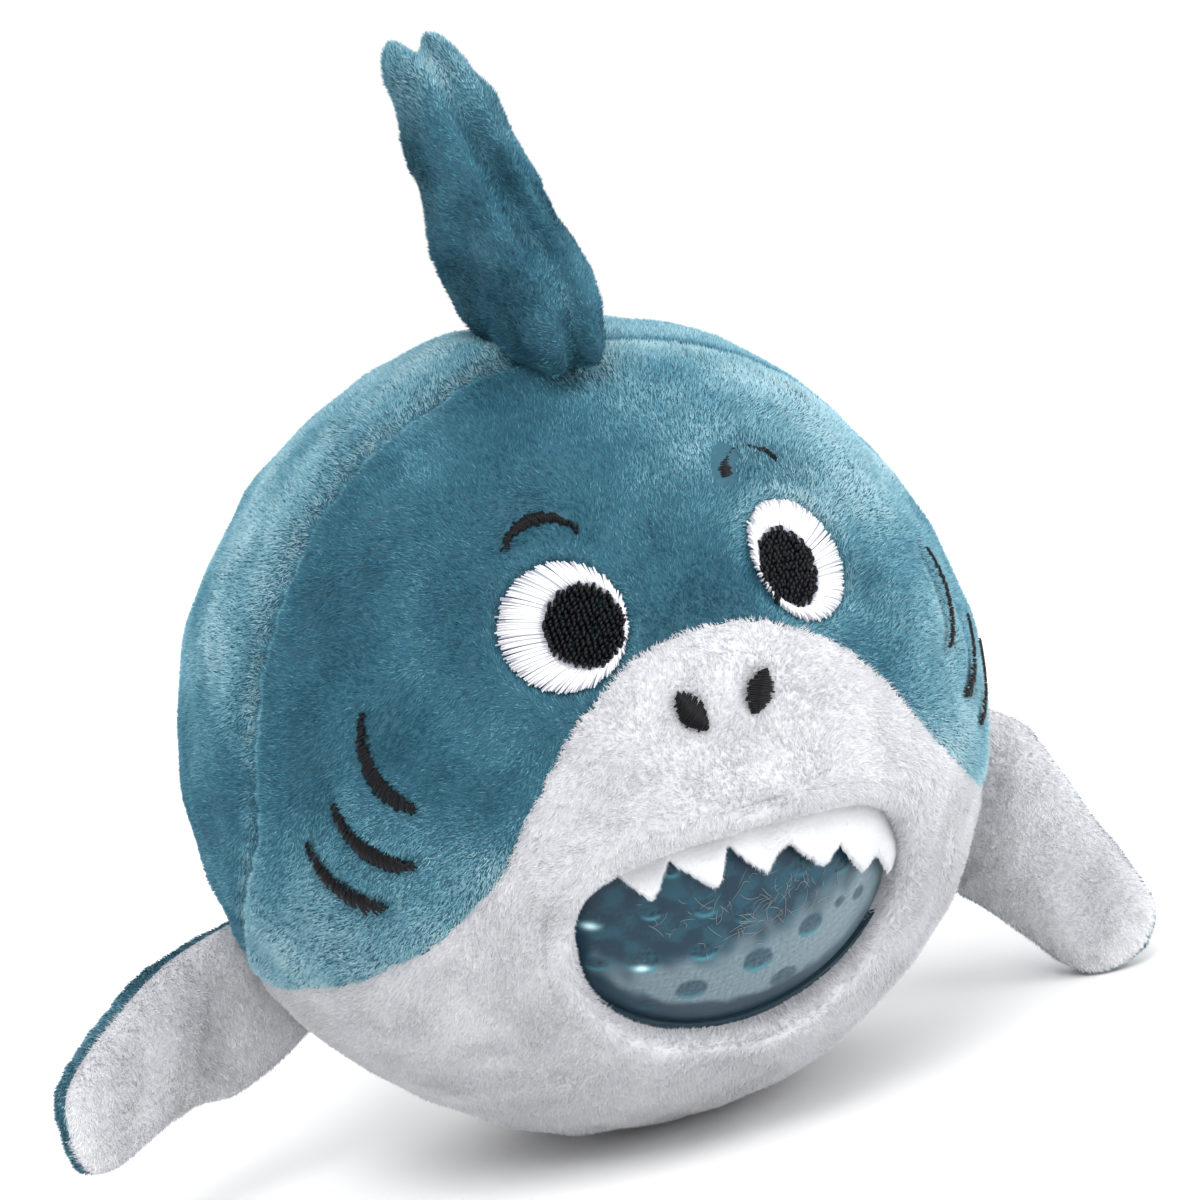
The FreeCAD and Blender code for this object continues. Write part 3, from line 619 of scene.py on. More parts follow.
def teal_nap_and_light(root):
    """Shade number, 0 deep to 4 pale, partly brushed nap and partly painted light: painted
    shade on the forehead, brow and in dashes down the seam, painted sheen on the crown, cheeks
    and seam edges, and paler low on the cheeks and round the eyes.
    """
    away = root - CENTRE
    seam, high = seam_gap(away), away[:, 2]
    front = seam < 0
    side = np.degrees(np.arctan2(away[:, 0], -away[:, 1]))
    shows = seam_shows(away)
    level = 0.62 + front * 2.0 * ramp(-12.0, 14.0, side) * ramp(8.0, 26.0, high)
    level += front * 0.9 * ramp(24.0, 44.0, side) * ramp(-10.0, 10.0, high)
    level += front * 1.5 * ramp(18.0, 34.0, side) * ramp(18.0, 4.0, high)
    level -= 1.4 * bell(np.linalg.norm(away - toward(4, 22) * BALL, axis=1), 9.0)
    level += 2.2 * ramp(-0.5, 2.5, seam) * ramp(2.0, 22.0, high)
    level += 1.2 * ramp(4.0, -14.0, high)
    # Along the open seam: painted sheen on the pinched pile either side, painted shade in dashes down the
    # groove.
    level += shows * (1.6 * bell(np.abs(seam) - 0.9, 0.55) - 1.1 * bell(seam, 0.4) * (seam_wave(away) > -0.2))
    level += 0.5 * bell(border_gap(away), 1.2) * front
    level += 1.1 * ramp(-20.0, -36.0, side) * ramp(12.0, -4.0, high) * front
    for sign in (-1, 1):
        eye = np.linalg.norm(away - toward(sign * EYE[0], EYE[1]) * CLOTH, axis=1)
        level += 0.9 * bell(eye - 8.0, 1.3)
    return level


def white_painted_shade(root):
    """Painted shade on the white pile: whitest on the snout, a little greyer under the mouth, on the right
    limb and behind.
    """
    away = root - CENTRE
    level = 1.75 - 0.9 * ramp(-8.0, -26.0, away[:, 2])
    level -= 0.5 * ramp(24.0, 42.0, away[:, 0])
    return level - 0.5 * ramp(-16.0, 10.0, away[:, 1])


def brow_path(share):
    """A brow's middle line, across and up: an arc of radius 4.4 from 160 to 20 degrees."""
    angle = np.radians(160.0 - 140.0 * share)
    return 4.4 * np.stack([np.cos(angle), np.sin(angle)], -1)


def oval(place, sign, reach, offset=(0.0, 0.0)):
    """How far points are from an oval's middle, 1 on its edge. reach: half sizes and tilt."""
    out = toward(sign * place[0], place[1])
    level = np.array([np.cos(np.radians(sign * place[0])), np.sin(np.radians(sign * place[0])), 0])
    above = np.cross(out, level)

    def share(points):
        x, y = points @ level - sign * offset[0], points @ above - offset[1]
        t = np.radians(reach[2])
        along, over = x * np.cos(t) + y * np.sin(t), y * np.cos(t) - x * np.sin(t)
        return np.hypot(along / reach[0], over / reach[1]) + 9.0 * (points @ out < 0)

    return share


def stitched(root):
    """True on the eyes, nostrils and the middle of brows and gills."""
    away = root - CENTRE
    bare = np.zeros(len(root), bool)
    for sign in (-1, 1):
        bare |= oval(EYE, sign, EYE_REACH[sign])(away) < 0.93
        nose = toward(sign * NOSTRIL[0], NOSTRIL[1]) * CLOTH
        bare |= np.linalg.norm(away - nose, axis=1) < 1.7
        for step in range(len(GILLS)):
            bare |= near_line(away, gill_points(step, sign, np.linspace(0.15, 0.9, 17)), 0.85)
        thick = np.linspace(0.25, 0.75, 9) if sign < 0 else np.linspace(0.0, 0.3, 7)
        side, lift = BROW[sign]
        brow = spot(sign * side, lift, *brow_path(thick).T, np.zeros(len(thick)))
        bare |= near_line(away, brow, 0.95 if sign < 0 else 1.6)
    return bare


whole_cover = sow(flat_points, cover_faces, cover_normals, cover_nap, stitched)
for name, mask in panels_at(whole_cover[:, 0] - CENTRE).items():
    is_teal = name in TEAL_PANELS
    pile_pieces(
        name,
        whole_cover[mask],
        TEAL_PILE if is_teal else WHITE_PILE,
        teal_nap_and_light if is_teal else white_painted_shade,
        "cover",
    )

# %% [markdown]
# ## Embroidery
# A stitch is a short ridge of glossy thread. It is drawn as a half-round ribbon that rises
# quickly at one end, arches over the cloth and dives in again at the other. A satin patch
# is a row of such stitches side by side; the pupils are filled with rows of short stitches,
# each row shifted like bricks.


# %% Lay stitches
def stitches(place, starts, ends, width, rise, steps=7, ribs=5):
    """Ribbons from starts to ends (across, up in mm): height = rise sin(pi s)^0.5 along, and
    half-round across. place is the (side, lift) that they are measured from."""
    s = np.linspace(0, 1, steps)[None, :, None]
    a = np.linspace(0, np.pi, ribs)[None, None, :]
    line = starts[:, None, None, :] * (1 - s[..., None]) + ends[:, None, None, :] * s[..., None]
    run = unit(ends - starts)
    side = np.stack([-run[:, 1], run[:, 0]], -1)[:, None, None, :]
    swell = np.sqrt(np.clip(np.sin(np.pi * np.clip(s, 0.02, 0.98)), 0, 1))
    half = np.asarray(width).reshape(-1, 1, 1) / 2
    flat = line + side * (np.cos(a) * half * (0.55 + 0.45 * swell))[..., None]
    height = rise * swell + np.sin(a) * half * 1.3 - 0.2
    points = spot(place[0], place[1], flat[..., 0], flat[..., 1], height) + CENTRE
    cells = grid_faces(steps, ribs)
    firsts = np.arange(len(starts))[:, None, None] * steps * ribs
    faces = (cells[None] + firsts).reshape(-1, 3)
    points = points.reshape(-1, 3)
    return points, outward(points, faces, CENTRE)


def stitched_piece(name, runs, material, body="cover"):
    """Joins several runs of stitches into the piece that stands for the CAD node name."""
    points, faces, total = [], [], 0
    for run_points, run_faces in runs:
        points.append(run_points)
        faces.append(run_faces + total)
        total += len(run_points)
    piece = make_mesh(name + "_thread", np.concatenate(points), np.concatenate(faces), material)
    join_body(piece, body, [name])
    print(name, "thread triangles:", sum(len(f) for f in faces))


def oval_rays(reach, turns):
    """Points of an oval at given turns: half sizes and tilt from reach."""
    flat = np.stack([np.cos(turns) * reach[0], np.sin(turns) * reach[1]], -1)
    t = np.radians(reach[2])
    return flat @ np.array([[np.cos(t), np.sin(t)], [-np.sin(t), np.cos(t)]])


def ring_stitches(sign):
    """The white of an eye: radial satin from the pupil's edge to a ragged outer oval."""
    middle = np.array([sign * PUPIL_OFFSET[0], PUPIL_OFFSET[1]])
    runs = []
    for layer, count, inner in ((0, 150, 0.88), (1, 150, 0.93)):
        turn = (np.arange(count) + 0.5 * layer) * 2 * np.pi / count
        turn = turn + chance.normal(0, 0.010, count)
        start = middle + oval_rays(PUPIL_REACH[sign], turn) * inner
        end = oval_rays(EYE_REACH[sign], turn) * (1 + chance.normal(0, 0.020, count))[:, None]
        eye = (sign * EYE[0], EYE[1])
        high = 0.62 + 0.10 * layer
        runs.append(stitches(eye, start, end, np.full(count, 0.30 - 0.04 * layer), high))
    return runs


def filled_oval(sign, pitch, long, rise):
    """The pupil: rows of short stitches, each row shifted, each stitch a little astray."""
    reach = PUPIL_REACH[sign]
    far = max(reach[:2])
    starts, ends = [], []
    for number, y in enumerate(np.arange(-far, far, pitch)):
        x = np.arange(-far, far, long) + (number * 0.37 % 1.0) * long
        starts.append(np.stack([x, np.full_like(x, y)], -1))
        ends.append(np.stack([x + long * 1.1, np.full_like(x, y)], -1))
    starts, ends = np.concatenate(starts), np.concatenate(ends)
    starts = starts + chance.normal(0, 0.10, starts.shape)
    ends = ends + chance.normal(0, 0.10, ends.shape)
    slant = np.radians(58.0)
    turn = np.array([[np.cos(slant), np.sin(slant)], [-np.sin(slant), np.cos(slant)]])
    starts, ends = starts @ turn, ends @ turn
    t = np.radians(reach[2])
    untilt = np.array([[np.cos(t), -np.sin(t)], [np.sin(t), np.cos(t)]])
    inside = np.linalg.norm((starts + ends) / 2 @ untilt / np.array(reach[:2]), axis=1) < 1.0
    middle = np.array([sign * PUPIL_OFFSET[0], PUPIL_OFFSET[1]])
    starts, ends = starts[inside] + middle, ends[inside] + middle
    high = rise + chance.normal(0, 0.07, (len(starts), 1, 1))
    return stitches((sign * EYE[0], EYE[1]), starts, ends, np.full(len(starts), pitch * 1.3), high)


def band_stitches(place, path, across, half_width, pitch_count, ragged_ends, rise, width=0.34):
    """Satin across a curved band: path(s) is its middle, across(s) the way over it."""
    s = (np.arange(pitch_count) + 0.5) / pitch_count
    middle, over = path(s), across(s)
    reach = half_width(s)[:, None]
    first = middle - over * (reach + chance.normal(0, ragged_ends, (pitch_count, 1)))
    last = middle + over * (reach + chance.normal(0, ragged_ends, (pitch_count, 1)))
    slant = 0.22 * np.stack([-over[:, 1], over[:, 0]], -1)
    return stitches(place, first - slant, last + slant, np.full(pitch_count, width), rise, 5, 4)


# %% [markdown]
# The eyes are a white ring and a black, slightly oval pupil that looks forward. The brows
# are thin arcs nearly lost in the pile, the nostrils lean almonds, and the gills three
# crescents on each cheek whose thread ends stand out into the pile.

# %% Embroider the face
for word, sign in (("right", -1), ("left", 1)):
    under, over_it = ring_stitches(sign)
    stitched_piece(word + "_eye_white", [over_it], WHITE_THREAD)
    # The under layer is grey thread: painted shade between the white threads.
    shaded = make_mesh(word + "_eye_shaded_thread", *under, PAINTED_SHADE_THREAD)
    join_body(shaded, "cover")
    stitched_piece(word + "_pupil", [filled_oval(sign, 0.30, 1.0, 0.92)], BLACK_THREAD)

    def brow_width(s, sign=sign):
        """Half width: full in the middle on the right, a blob at the start on the left."""
        if sign < 0:
            return 0.26 + 0.60 * np.sin(np.pi * np.clip(s * 1.3 - 0.1, 0, 1)) ** 1.5
        return 0.20 + 1.15 * bell(s - 0.12, 0.17)

    brow_runs = [
        band_stitches((sign * BROW[sign][0], BROW[sign][1]), brow_path,
                      lambda s: unit(brow_path(s)), brow_width, 44, 0.14, 0.58)
    ]
    stitched_piece(word + "_brow", brow_runs, BLACK_THREAD)

    lean = np.radians(-30.0 * sign)
    long_way = np.array([np.sin(-lean), np.cos(lean)])
    wide_way = np.array([np.cos(lean), -np.sin(-lean)])
    nostril_runs = [
        band_stitches((sign * NOSTRIL[0], NOSTRIL[1]), lambda s: np.outer(s - 0.5, long_way) * 5.0,
                      lambda s: np.broadcast_to(wide_way, (len(s), 2)),
                      lambda s: 0.25 + 1.30 * np.sin(np.pi * s) ** 0.8, 20, 0.12, 0.95)
    ]
    stitched_piece(word + "_nostril", nostril_runs, BLACK_THREAD)

    # The left side's gills are slimmer and lie flatter.
    slim, gill_rise = (1.0, 0.62) if sign < 0 else (0.6, 0.35)
    gill_runs = []
    for step, (side, lift) in enumerate(gill[:2] for gill in GILLS):

        def path(s, step=step):
            """Middle line of this gill."""
            return np.stack(gill_path(step, sign, s), -1)

        def over(s, step=step):
            """Outward from the gill's arc."""
            return unit(path(s))

        gill_runs.append(
            band_stitches((sign * side, lift), path, over,
                          lambda s: (0.16 + 0.86 * np.sin(np.pi * s ** 1.4) ** 0.8) * slim,
                          52, 0.22, gill_rise)
        )
    stitched_piece(word + "_gill_stitches", gill_runs, BLACK_THREAD)

# %% [markdown]
# ## The gel ball in the mouth
# The rubber skin bulges out of the mouth. It is clear, so one sees tinted water, dark water
# beads with a bright rim of painted light where the light gathers at their lower edge, a
# pale grey patch lower down, partly dust and partly a painted reflection of the floor, and a
# dark rim along the lip, painted shade. The colours, this painted light and shade among them,
# are worked out on the surface's own points and stored as a colour attribute, and a clear
# coat gives the wet gloss. The dome's transform is baked in place, and it rides on no body.

# %% Shape and tint the dome
BEADS = np.array([
    (-17.5, 2.8, 1.2, 1.0), (-11.9, 3.9, 1.1, 0.5), (-12.9, -2.4, 1.8, 1.0), (-6.7, -1.8, 1.6, 0.6),
    (-0.4, -5.1, 1.9, 0.55), (-7.8, -7.5, 1.8, 0.4), (6.3, -3.0, 1.7, 0.5), (11.2, 2.5, 1.3, 0.3),
    (10.5, -2.0, 0.8, 0.1), (3.3, -9.6, 1.8, 0.1), (13.6, -2.8, 1.0, 0.1), (-15.8, 8.6, 1.1, 0.5),
    (-9.0, 8.3, 1.1, 0.5), (-6.2, 3.8, 1.5, 0.4), (-1.8, 1.6, 1.2, 0.3), (-17.3, -3.0, 1.1, 0.5),
    (5.6, 5.0, 1.3, 0.2), (-12.0, -9.6, 1.2, 0.1),
])
DOME_SPREAD = 1.10


def dome_point(across, up):
    """Skin of the dome: radius 42.9 at the lip, swelling by 3.5 in the middle, with faint
    dents between the beads."""
    angle = np.arctan2(up, across)
    reach = np.clip(np.hypot(across, up) / mouth_edge(angle), 0.0, 1.2)
    radius = 42.9 + 3.5 * (1.0 - np.clip(reach, 0, 1) ** 2.6)
    away = np.hypot(across[..., None] - BEADS[:, 0], up[..., None] - BEADS[:, 1])
    radius = radius + 0.05 * bell(away, BEADS[:, 2] * 0.9).sum(axis=-1)
    deep = np.sqrt(np.maximum(radius**2 - across**2 - up**2, 1.0))
    return (
        np.multiply.outer(across, ACROSS) + np.multiply.outer(up, MOUTH_UP)
        + deep[..., None] * MOUTH_OUT + CENTRE
    )


dome_angles = np.linspace(0, 2 * np.pi, 420, endpoint=False)
dome_share = np.linspace(0, 1, 96)[:, None]
reach = dome_share * mouth_edge(dome_angles)[None, :] * DOME_SPREAD
dome_x, dome_y = reach * np.cos(dome_angles), reach * np.sin(dome_angles)
dome_points = dome_point(dome_x, dome_y).reshape(-1, 3)
dome_faces = grid_faces(96, 420, around=True)
dome_faces = np.where(dome_faces < 420, 0, dome_faces)
whole = (dome_faces[:, 0] != dome_faces[:, 1]) & (dome_faces[:, 1] != dome_faces[:, 2])
whole &= dome_faces[:, 0] != dome_faces[:, 2]
dome_faces = outward(dome_points, dome_faces[whole], CENTRE)


def gel_colour(across, up, points):
    """Liquid tint and painted light: mottled navy above, a pale grey patch below, partly dust
    and partly a painted reflection of the floor, a navy rim of painted shade along the lip, then
    each bead's dark disc, its bright lower crescent of painted gathered light and its painted glint."""
    navy, teal = np.array([0.009, 0.030, 0.052]), np.array([0.014, 0.060, 0.090])
    dust_and_reflection = np.array([0.150, 0.212, 0.244])
    cloud = lumps(points, 6.0, 41) * 0.5 + lumps(points, 2.4, 42) * 0.35
    fine = lumps(points, 0.8, 43) * 0.7 + lumps(points, 0.4, 44) * 0.5
    patchy = ramp(-1.1, 1.3, lumps(points, 3.0, 45) + 0.4 * fine)
    colour = navy + (teal - navy) * patchy[..., None]
    # The pale grey patch below is partly dust and partly a painted reflection of the floor.
    dust_and_reflection_share = ramp(1.2, -4.6, up - 0.16 * across + 1.1 * cloud + 0.35 * fine)
    colour = colour + (dust_and_reflection * (1 + 0.12 * fine[..., None]) - colour) * (0.92 * dust_and_reflection_share)[..., None]
    # A navy rim along the lip: painted shade where the cloth meets the dome.
    seen = np.hypot(across / 20.5, up / np.where(up < 0, 12.0, 16.0))
    rim = ramp(0.84, 0.97, seen + 0.03 * cloud) * ramp(26.0, 10.0, across - 0.5 * up)
    colour = colour + (navy - colour) * (0.9 * rim)[..., None]
    for x, y, size, strength in BEADS:
        off = np.hypot(across - x, (up - y) * 1.1) / size
        disc = ramp(1.12, 0.80, off) * 0.80 * (1 - 0.5 * rim)
        shade = np.array([0.010, 0.044, 0.068]) * (1 + 0.35 * fine[..., None])
        colour = colour + (shade - colour) * disc[..., None]
        # Each bead's bright lower crescent is painted light, gathered by the bead.
        low = bell(off - 0.80, 0.22) * ramp(0.1, 0.8, (y - up) / size)
        glow = np.array([0.055, 0.24, 0.31])
        colour = colour + (glow - colour) * (low * min(1.0, strength * 1.5))[..., None]
        # A painted glint on the larger beads.
        painted_glint = bell(np.hypot((across - x + 0.2) / 1.5, up - y + 0.62 * size), 0.40) * (strength > 0.9)
        colour = colour + (np.array([0.65, 0.95, 1.0]) - colour) * painted_glint[..., None]
    return np.clip(colour, 0.0, 1.0)


tint_and_light = gel_colour(dome_x.ravel(), dome_y.ravel(), dome_points)
gel_skin, gel_base = shader("tinted_gel", (0.02, 0.09, 0.13), 0.38)
gel_base.inputs["Specular IOR Level"].default_value = 0.2
gel_base.inputs["Coat Weight"].default_value = 0.10
gel_base.inputs["Coat Roughness"].default_value = 0.15
reader = gel_skin.node_tree.nodes.new("ShaderNodeAttribute")
reader.attribute_name = "gel_tint_and_light"
gel_skin.node_tree.links.new(reader.outputs["Color"], gel_base.inputs["Base Color"])
dome = make_mesh("gel_dome", dome_points, dome_faces, gel_skin)
tint_layer = dome.data.color_attributes.new("gel_tint_and_light", "FLOAT_COLOR", "POINT")
tint_layer.data.foreach_set("color", np.c_[tint_and_light, np.ones(len(tint_and_light))].astype(np.float32).ravel())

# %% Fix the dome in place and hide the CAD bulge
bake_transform(dome)
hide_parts("bulge_skin", "bulge_gel", "bulge_beads")
print("dome points:", len(dome_points))

# %% [markdown]
# A clear wet skin always gathers lint. About a hundred hair-thin curved fibres lie on it, each
# a three-sided tube along a bent line.


# %% Lint on the dome
def thin_tubes(path, thick):
    """Three-sided tubes round lines: path is (lines, steps, 3); closed by their own taper."""
    lines, steps = path.shape[:2]
    ahead = unit(np.gradient(path, axis=1))
    side = unit(np.cross(ahead, MOUTH_OUT))
    over = np.cross(side, ahead)
    a = np.arange(3) * 2 * np.pi / 3
    taper = (np.sin(np.linspace(0.08, np.pi - 0.08, steps)) ** 0.4)[None, :, None, None]
    ring = side[:, :, None] * np.cos(a)[:, None] + over[:, :, None] * np.sin(a)[:, None]
    points = path[:, :, None] + ring * thick / 2 * taper
    cells = grid_faces(steps, 3, around=True)
    faces = cells[None] + np.arange(lines)[:, None, None] * steps * 3
    return points.reshape(-1, 3), faces.reshape(-1, 3)


count = 110
s = np.linspace(-0.5, 0.5, 9)[None, :]
where = chance.normal(0, 0.5, (2, count, 1)) * np.array([14.0, 4.5])[:, None, None]
aim = chance.uniform(0, np.pi, (count, 1))
curl = chance.normal(0, 0.8, (count, 1))
long = chance.uniform(0.5, 1.5, (count, 1)) ** 2 + 0.3
lint_x = where[0] + long * s * np.cos(aim) - curl * (s**2) * np.sin(aim)
lint_y = where[1] + 2.0 + long * s * np.sin(aim) + curl * (s**2) * np.cos(aim)
lint_path = dome_point(lint_x, lint_y) + MOUTH_OUT * 0.06
lint_points, lint_faces = thin_tubes(lint_path, 0.05)
lint_fibre = fibre("lint", (0.28, 0.30, 0.30), 0.6)
lint = make_mesh("lint_fibres", lint_points, lint_faces, lint_fibre)
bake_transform(lint)

# %% [markdown]
# ## The teeth
# One strip of white felt, cut in a zigzag and sewn in under the upper lip. It hangs in front
# of the dome and sags towards the shark's left. The strip is a grid from its sewn root to
# its zigzag edge, with a front, a back and a rounded rim.

# %% Cut and hang the tooth strip
TOOTH_TIPS = [(-12.1, 5.9), (-5.1, 6.2), (0.6, 6.6), (7.6, 4.9), (13.3, 0.9), (18.6, -3.4)]
TOOTH_NOTCHES = [(-16.4, 10.4), (-9.4, 9.7), (-2.9, 10.1), (4.0, 8.7), (10.4, 5.9), (15.9, 1.6),
                 (20.2, -1.6)]
zigzag = np.array(sorted(TOOTH_TIPS + TOOTH_NOTCHES))
tooth_columns, tooth_rows = 300, 16
tooth_x = np.linspace(zigzag[0, 0], zigzag[-1, 0], tooth_columns)
raw_edge = np.interp(tooth_x, zigzag[:, 0], zigzag[:, 1])
kernel = np.hanning(9) / np.hanning(9).sum()
edge = np.convolve(np.pad(raw_edge, 4, mode="edge"), kernel, mode="valid")
edge = edge + 0.10 * lumps(np.stack([tooth_x, edge, edge * 0], -1), 1.2, 51)
root = 13.6 - 5.2 * (np.abs(tooth_x) / 20.0) ** 3.2
root = np.maximum(root, edge + 1.2)
down = np.linspace(0, 1, tooth_rows)[:, None]
sheet_y = root * (1 - down) + edge * down
sheet_x = np.broadcast_to(tooth_x, sheet_y.shape)
thin = 0.85 * np.sqrt(np.clip(1 - ((down - 0.5) * 2) ** 10, 0.02, 1.0))
stand = 0.30 + 1.0 * down**1.5 + 0.18 * lumps(np.stack([sheet_x, sheet_y, sheet_x * 0], -1), 6.0, 52)
skin = dome_point(sheet_x, sheet_y)
back_side = skin + MOUTH_OUT * stand[..., None]
front_side = back_side + MOUTH_OUT * (thin * np.ones_like(sheet_x))[..., None]
tooth_points = np.concatenate([front_side.reshape(-1, 3), back_side.reshape(-1, 3)])
cells = grid_faces(tooth_rows, tooth_columns)
other = tooth_rows * tooth_columns
index = np.arange(other).reshape(tooth_rows, tooth_columns)
rim_loop = np.concatenate([index[0], index[1:, -1], index[-1, -2::-1], index[-2:0:-1, 0]])
after = np.roll(rim_loop, -1)
rim_faces = np.concatenate([
    np.stack([rim_loop, rim_loop + other, after], -1),
    np.stack([after, rim_loop + other, after + other], -1),
])
front_faces = outward(tooth_points, cells, CENTRE)
was_turned = not np.array_equal(front_faces, cells)
back_faces = front_faces[:, ::-1] + other
rim_faces = rim_faces if was_turned else rim_faces[:, ::-1]
tooth_faces = np.concatenate([front_faces, back_faces, rim_faces])
teeth = make_mesh("tooth_strip_felt", tooth_points, tooth_faces, FELT)
join_body(teeth, "teeth", ["tooth_strip"])

tooth_normals = normals_of(tooth_points, tooth_faces)
felt_fuzz = sow(tooth_points, front_faces, tooth_normals,
                lambda at: lumps(at, 5.0, 53)[:, None] * ACROSS - MOUTH_UP, None, 45.0, 0.40, 25.0, 0.09)
edge_faces = front_faces[(front_faces.max(axis=1) >= (tooth_rows - 3) * tooth_columns)]
edge_fuzz = sow(tooth_points, edge_faces, tooth_normals,
                lambda at: -np.broadcast_to(MOUTH_UP, at.shape), None, 90.0, 0.6, 14.0, 0.06)
fuzz = np.concatenate([felt_fuzz, edge_fuzz]).reshape(-1, 3)
fuzz_piece = make_mesh("tooth_fuzz", fuzz, np.arange(len(fuzz)).reshape(-1, 3),
                       fibre("felt_fibre", (0.66, 0.675, 0.70), 0.8, 0.0), False)
join_body(fuzz_piece, "teeth")
print("teeth:", len(tooth_faces), "triangles,", len(fuzz) // 3, "felt fibres")

# %% [markdown]
# ## Stuffed fins
# Each fin is two cloth halves sewn along their outline, turned and stuffed. Cut across, it
# is a fat superellipse with a groove where the seam pulls in. The outline is a few corners
# with the corners cut off again and again, which ends in a smooth closed curve. A half is
# that curve shrunk to its middle while it rises: radius share cos(a)^(2/n), height
# sin(a)^(2/n). The root reaches into the cover.


# %% Puffed halves
def soft_outline(corners, count, rounds=4):
    """Corner cutting: each side keeps its points at 1/4 and 3/4, several times; then count
    points evenly spaced along the curve."""
    line = np.array(corners, float)
    for turn_number in range(rounds):
        after = np.roll(line, -1, axis=0)
        line = np.stack([line * 0.75 + after * 0.25, line * 0.25 + after * 0.75], 1).reshape(-1, 2)
    closed_line = np.vstack([line, line[:1]])
    steps = np.r_[0, np.cumsum(np.linalg.norm(np.diff(closed_line, axis=0), axis=1))]
    wanted = np.linspace(0, steps[-1], count, endpoint=False)
    return np.stack([np.interp(wanted, steps, closed_line[:, k]) for k in (0, 1)], -1)


def puffed_half(outline, middle, half_thick, power, side, rows_up=34, groove=0.55, crease=0.30):
    """Grid of one half in the fin's own plane: share = cos(a)^(2/n), height = T sin(a)^(2/n),
    the rim pulled in by groove mm at the seam, with uneven stuffing."""
    a = np.linspace(0, np.pi / 2, rows_up)[:, None]
    share = np.cos(a) ** (2 / power)
    rise = np.sin(a) ** (2 / power)
    spoke = outline - middle
    reach_mm = np.linalg.norm(spoke, axis=1)[None, :]
    pulled = share * (1 - groove * bell(a, crease) / reach_mm)
    flat = middle + spoke[None] * pulled[..., None]
    thick = half_thick(flat) if callable(half_thick) else half_thick
    seed_points = np.concatenate([flat, np.full(flat.shape[:2] + (1,), 5.0 * side)], -1)
    uneven = 1 + 0.05 * lumps(seed_points, 13.0, 61) + 0.02 * lumps(seed_points, 4.5, 62)
    edge_pucker = 1 - 0.10 * bell(a, 0.5) * (1 + np.sin(np.arange(len(outline)) * 0.9))[None, :]
    height = side * thick * rise * uneven * edge_pucker
    return np.concatenate([flat, height[..., None]], -1)


def in_frame(local, origin, first, second, third):
    """Local coordinates to the row frame: origin + x first + y second + z third."""
    return origin + local[..., :1] * first + local[..., 1:2] * second + local[..., 2:] * third


def closed_grid(points):
    """A half's triangles, its last row drawn together in one point."""
    rows_here, columns_here = points.shape[:2]
    flat = points.reshape(-1, 3)
    last = (rows_here - 1) * columns_here
    faces = grid_faces(rows_here, columns_here, around=True)
    faces = np.where(faces >= last, last, faces)
    good = (faces[:, 0] != faces[:, 1]) & (faces[:, 1] != faces[:, 2]) & (faces[:, 0] != faces[:, 2])
    return flat, faces[good]


def stuffed_half(name, grid, inner, back_material, body, bend, replaced, nap, shades, bias,
                 keep=None):
    """One cloth half with its pile: backing with a wall inwards, then the blades."""
    points, faces = closed_grid(grid)
    faces = outward(points, faces, inner)
    points, faces = used_only(points, faces)
    print(name, "lowest point %.2f mm" % points[:, 2].min())
    cloth = make_mesh(name + "_cloth", points, faces, back_material)
    normals = normals_of(points, faces)
    blades = sow(points, faces, normals, nap, keep)
    wall = cloth.modifiers.new("cloth_wall", "SOLIDIFY")
    wall.thickness = 0.6 * MM
    wall.offset = -1.0
    join_body(cloth, body, replaced, bend)
    pile_pieces(name, blades, shades, bias, body, bend)


# %% [markdown]
# The dorsal fin stands on the crown in the shark's middle plane and leans back. Its two
# halves are so full that the seam is a furrow down the front edge and a notch at the tip.

# %% Dorsal fin
hinge = np.array(joints["dorsal_hinge"]["pos_m"]) / MM
fin_up = unit(hinge - CENTRE)
fin_back = np.cross(np.array([1.0, 0, 0]), fin_up) * -1
fin_back = fin_back if fin_back[1] > 0 else -fin_back
fin_left = np.array([1.0, 0.0, 0.0])
DORSAL = [(-18.6, -9.0), (0.0, -10.0), (14.6, -9.0), (14.2, 0.0), (13.4, 9.0), (15.0, 18.5),
          (17.8, 26.6), (11.4, 27.4), (4.0, 23.4), (-4.2, 14.0), (-10.8, 6.8), (-17.6, 0.0)]
dorsal_line = soft_outline(DORSAL, 210)
dorsal_middle = np.array([4.2, 6.0])
root_point = CENTRE + fin_up * (BALL - 0.5)


def dorsal_fullness(flat):
    """Half thickness: 5.2 at the sewn root, 5.7 just above it, 5.6 at the tip."""
    return 5.7 - 0.1 * ramp(8.0, 27.0, flat[..., 1]) - 0.5 * ramp(-1.0, -7.0, flat[..., 1])


def buried(root):
    """True where a blade would grow inside the ball."""
    return np.linalg.norm(root - CENTRE, axis=1) < BALL - 1.2


def dorsal_shade_and_sheen(root):
    """Painted shade deep low down by the ball, mid grey teal at the tip, and a pale line of
    painted sheen along the seam's furrow.
    """
    height = (root - hinge) @ fin_up
    from_seam = np.abs(root[:, 0] + 0.12 * np.maximum(height, 0.0))
    return 0.55 + 2.1 * ramp(10.0, 25.0, height) + 0.8 * bell(from_seam, 0.9)


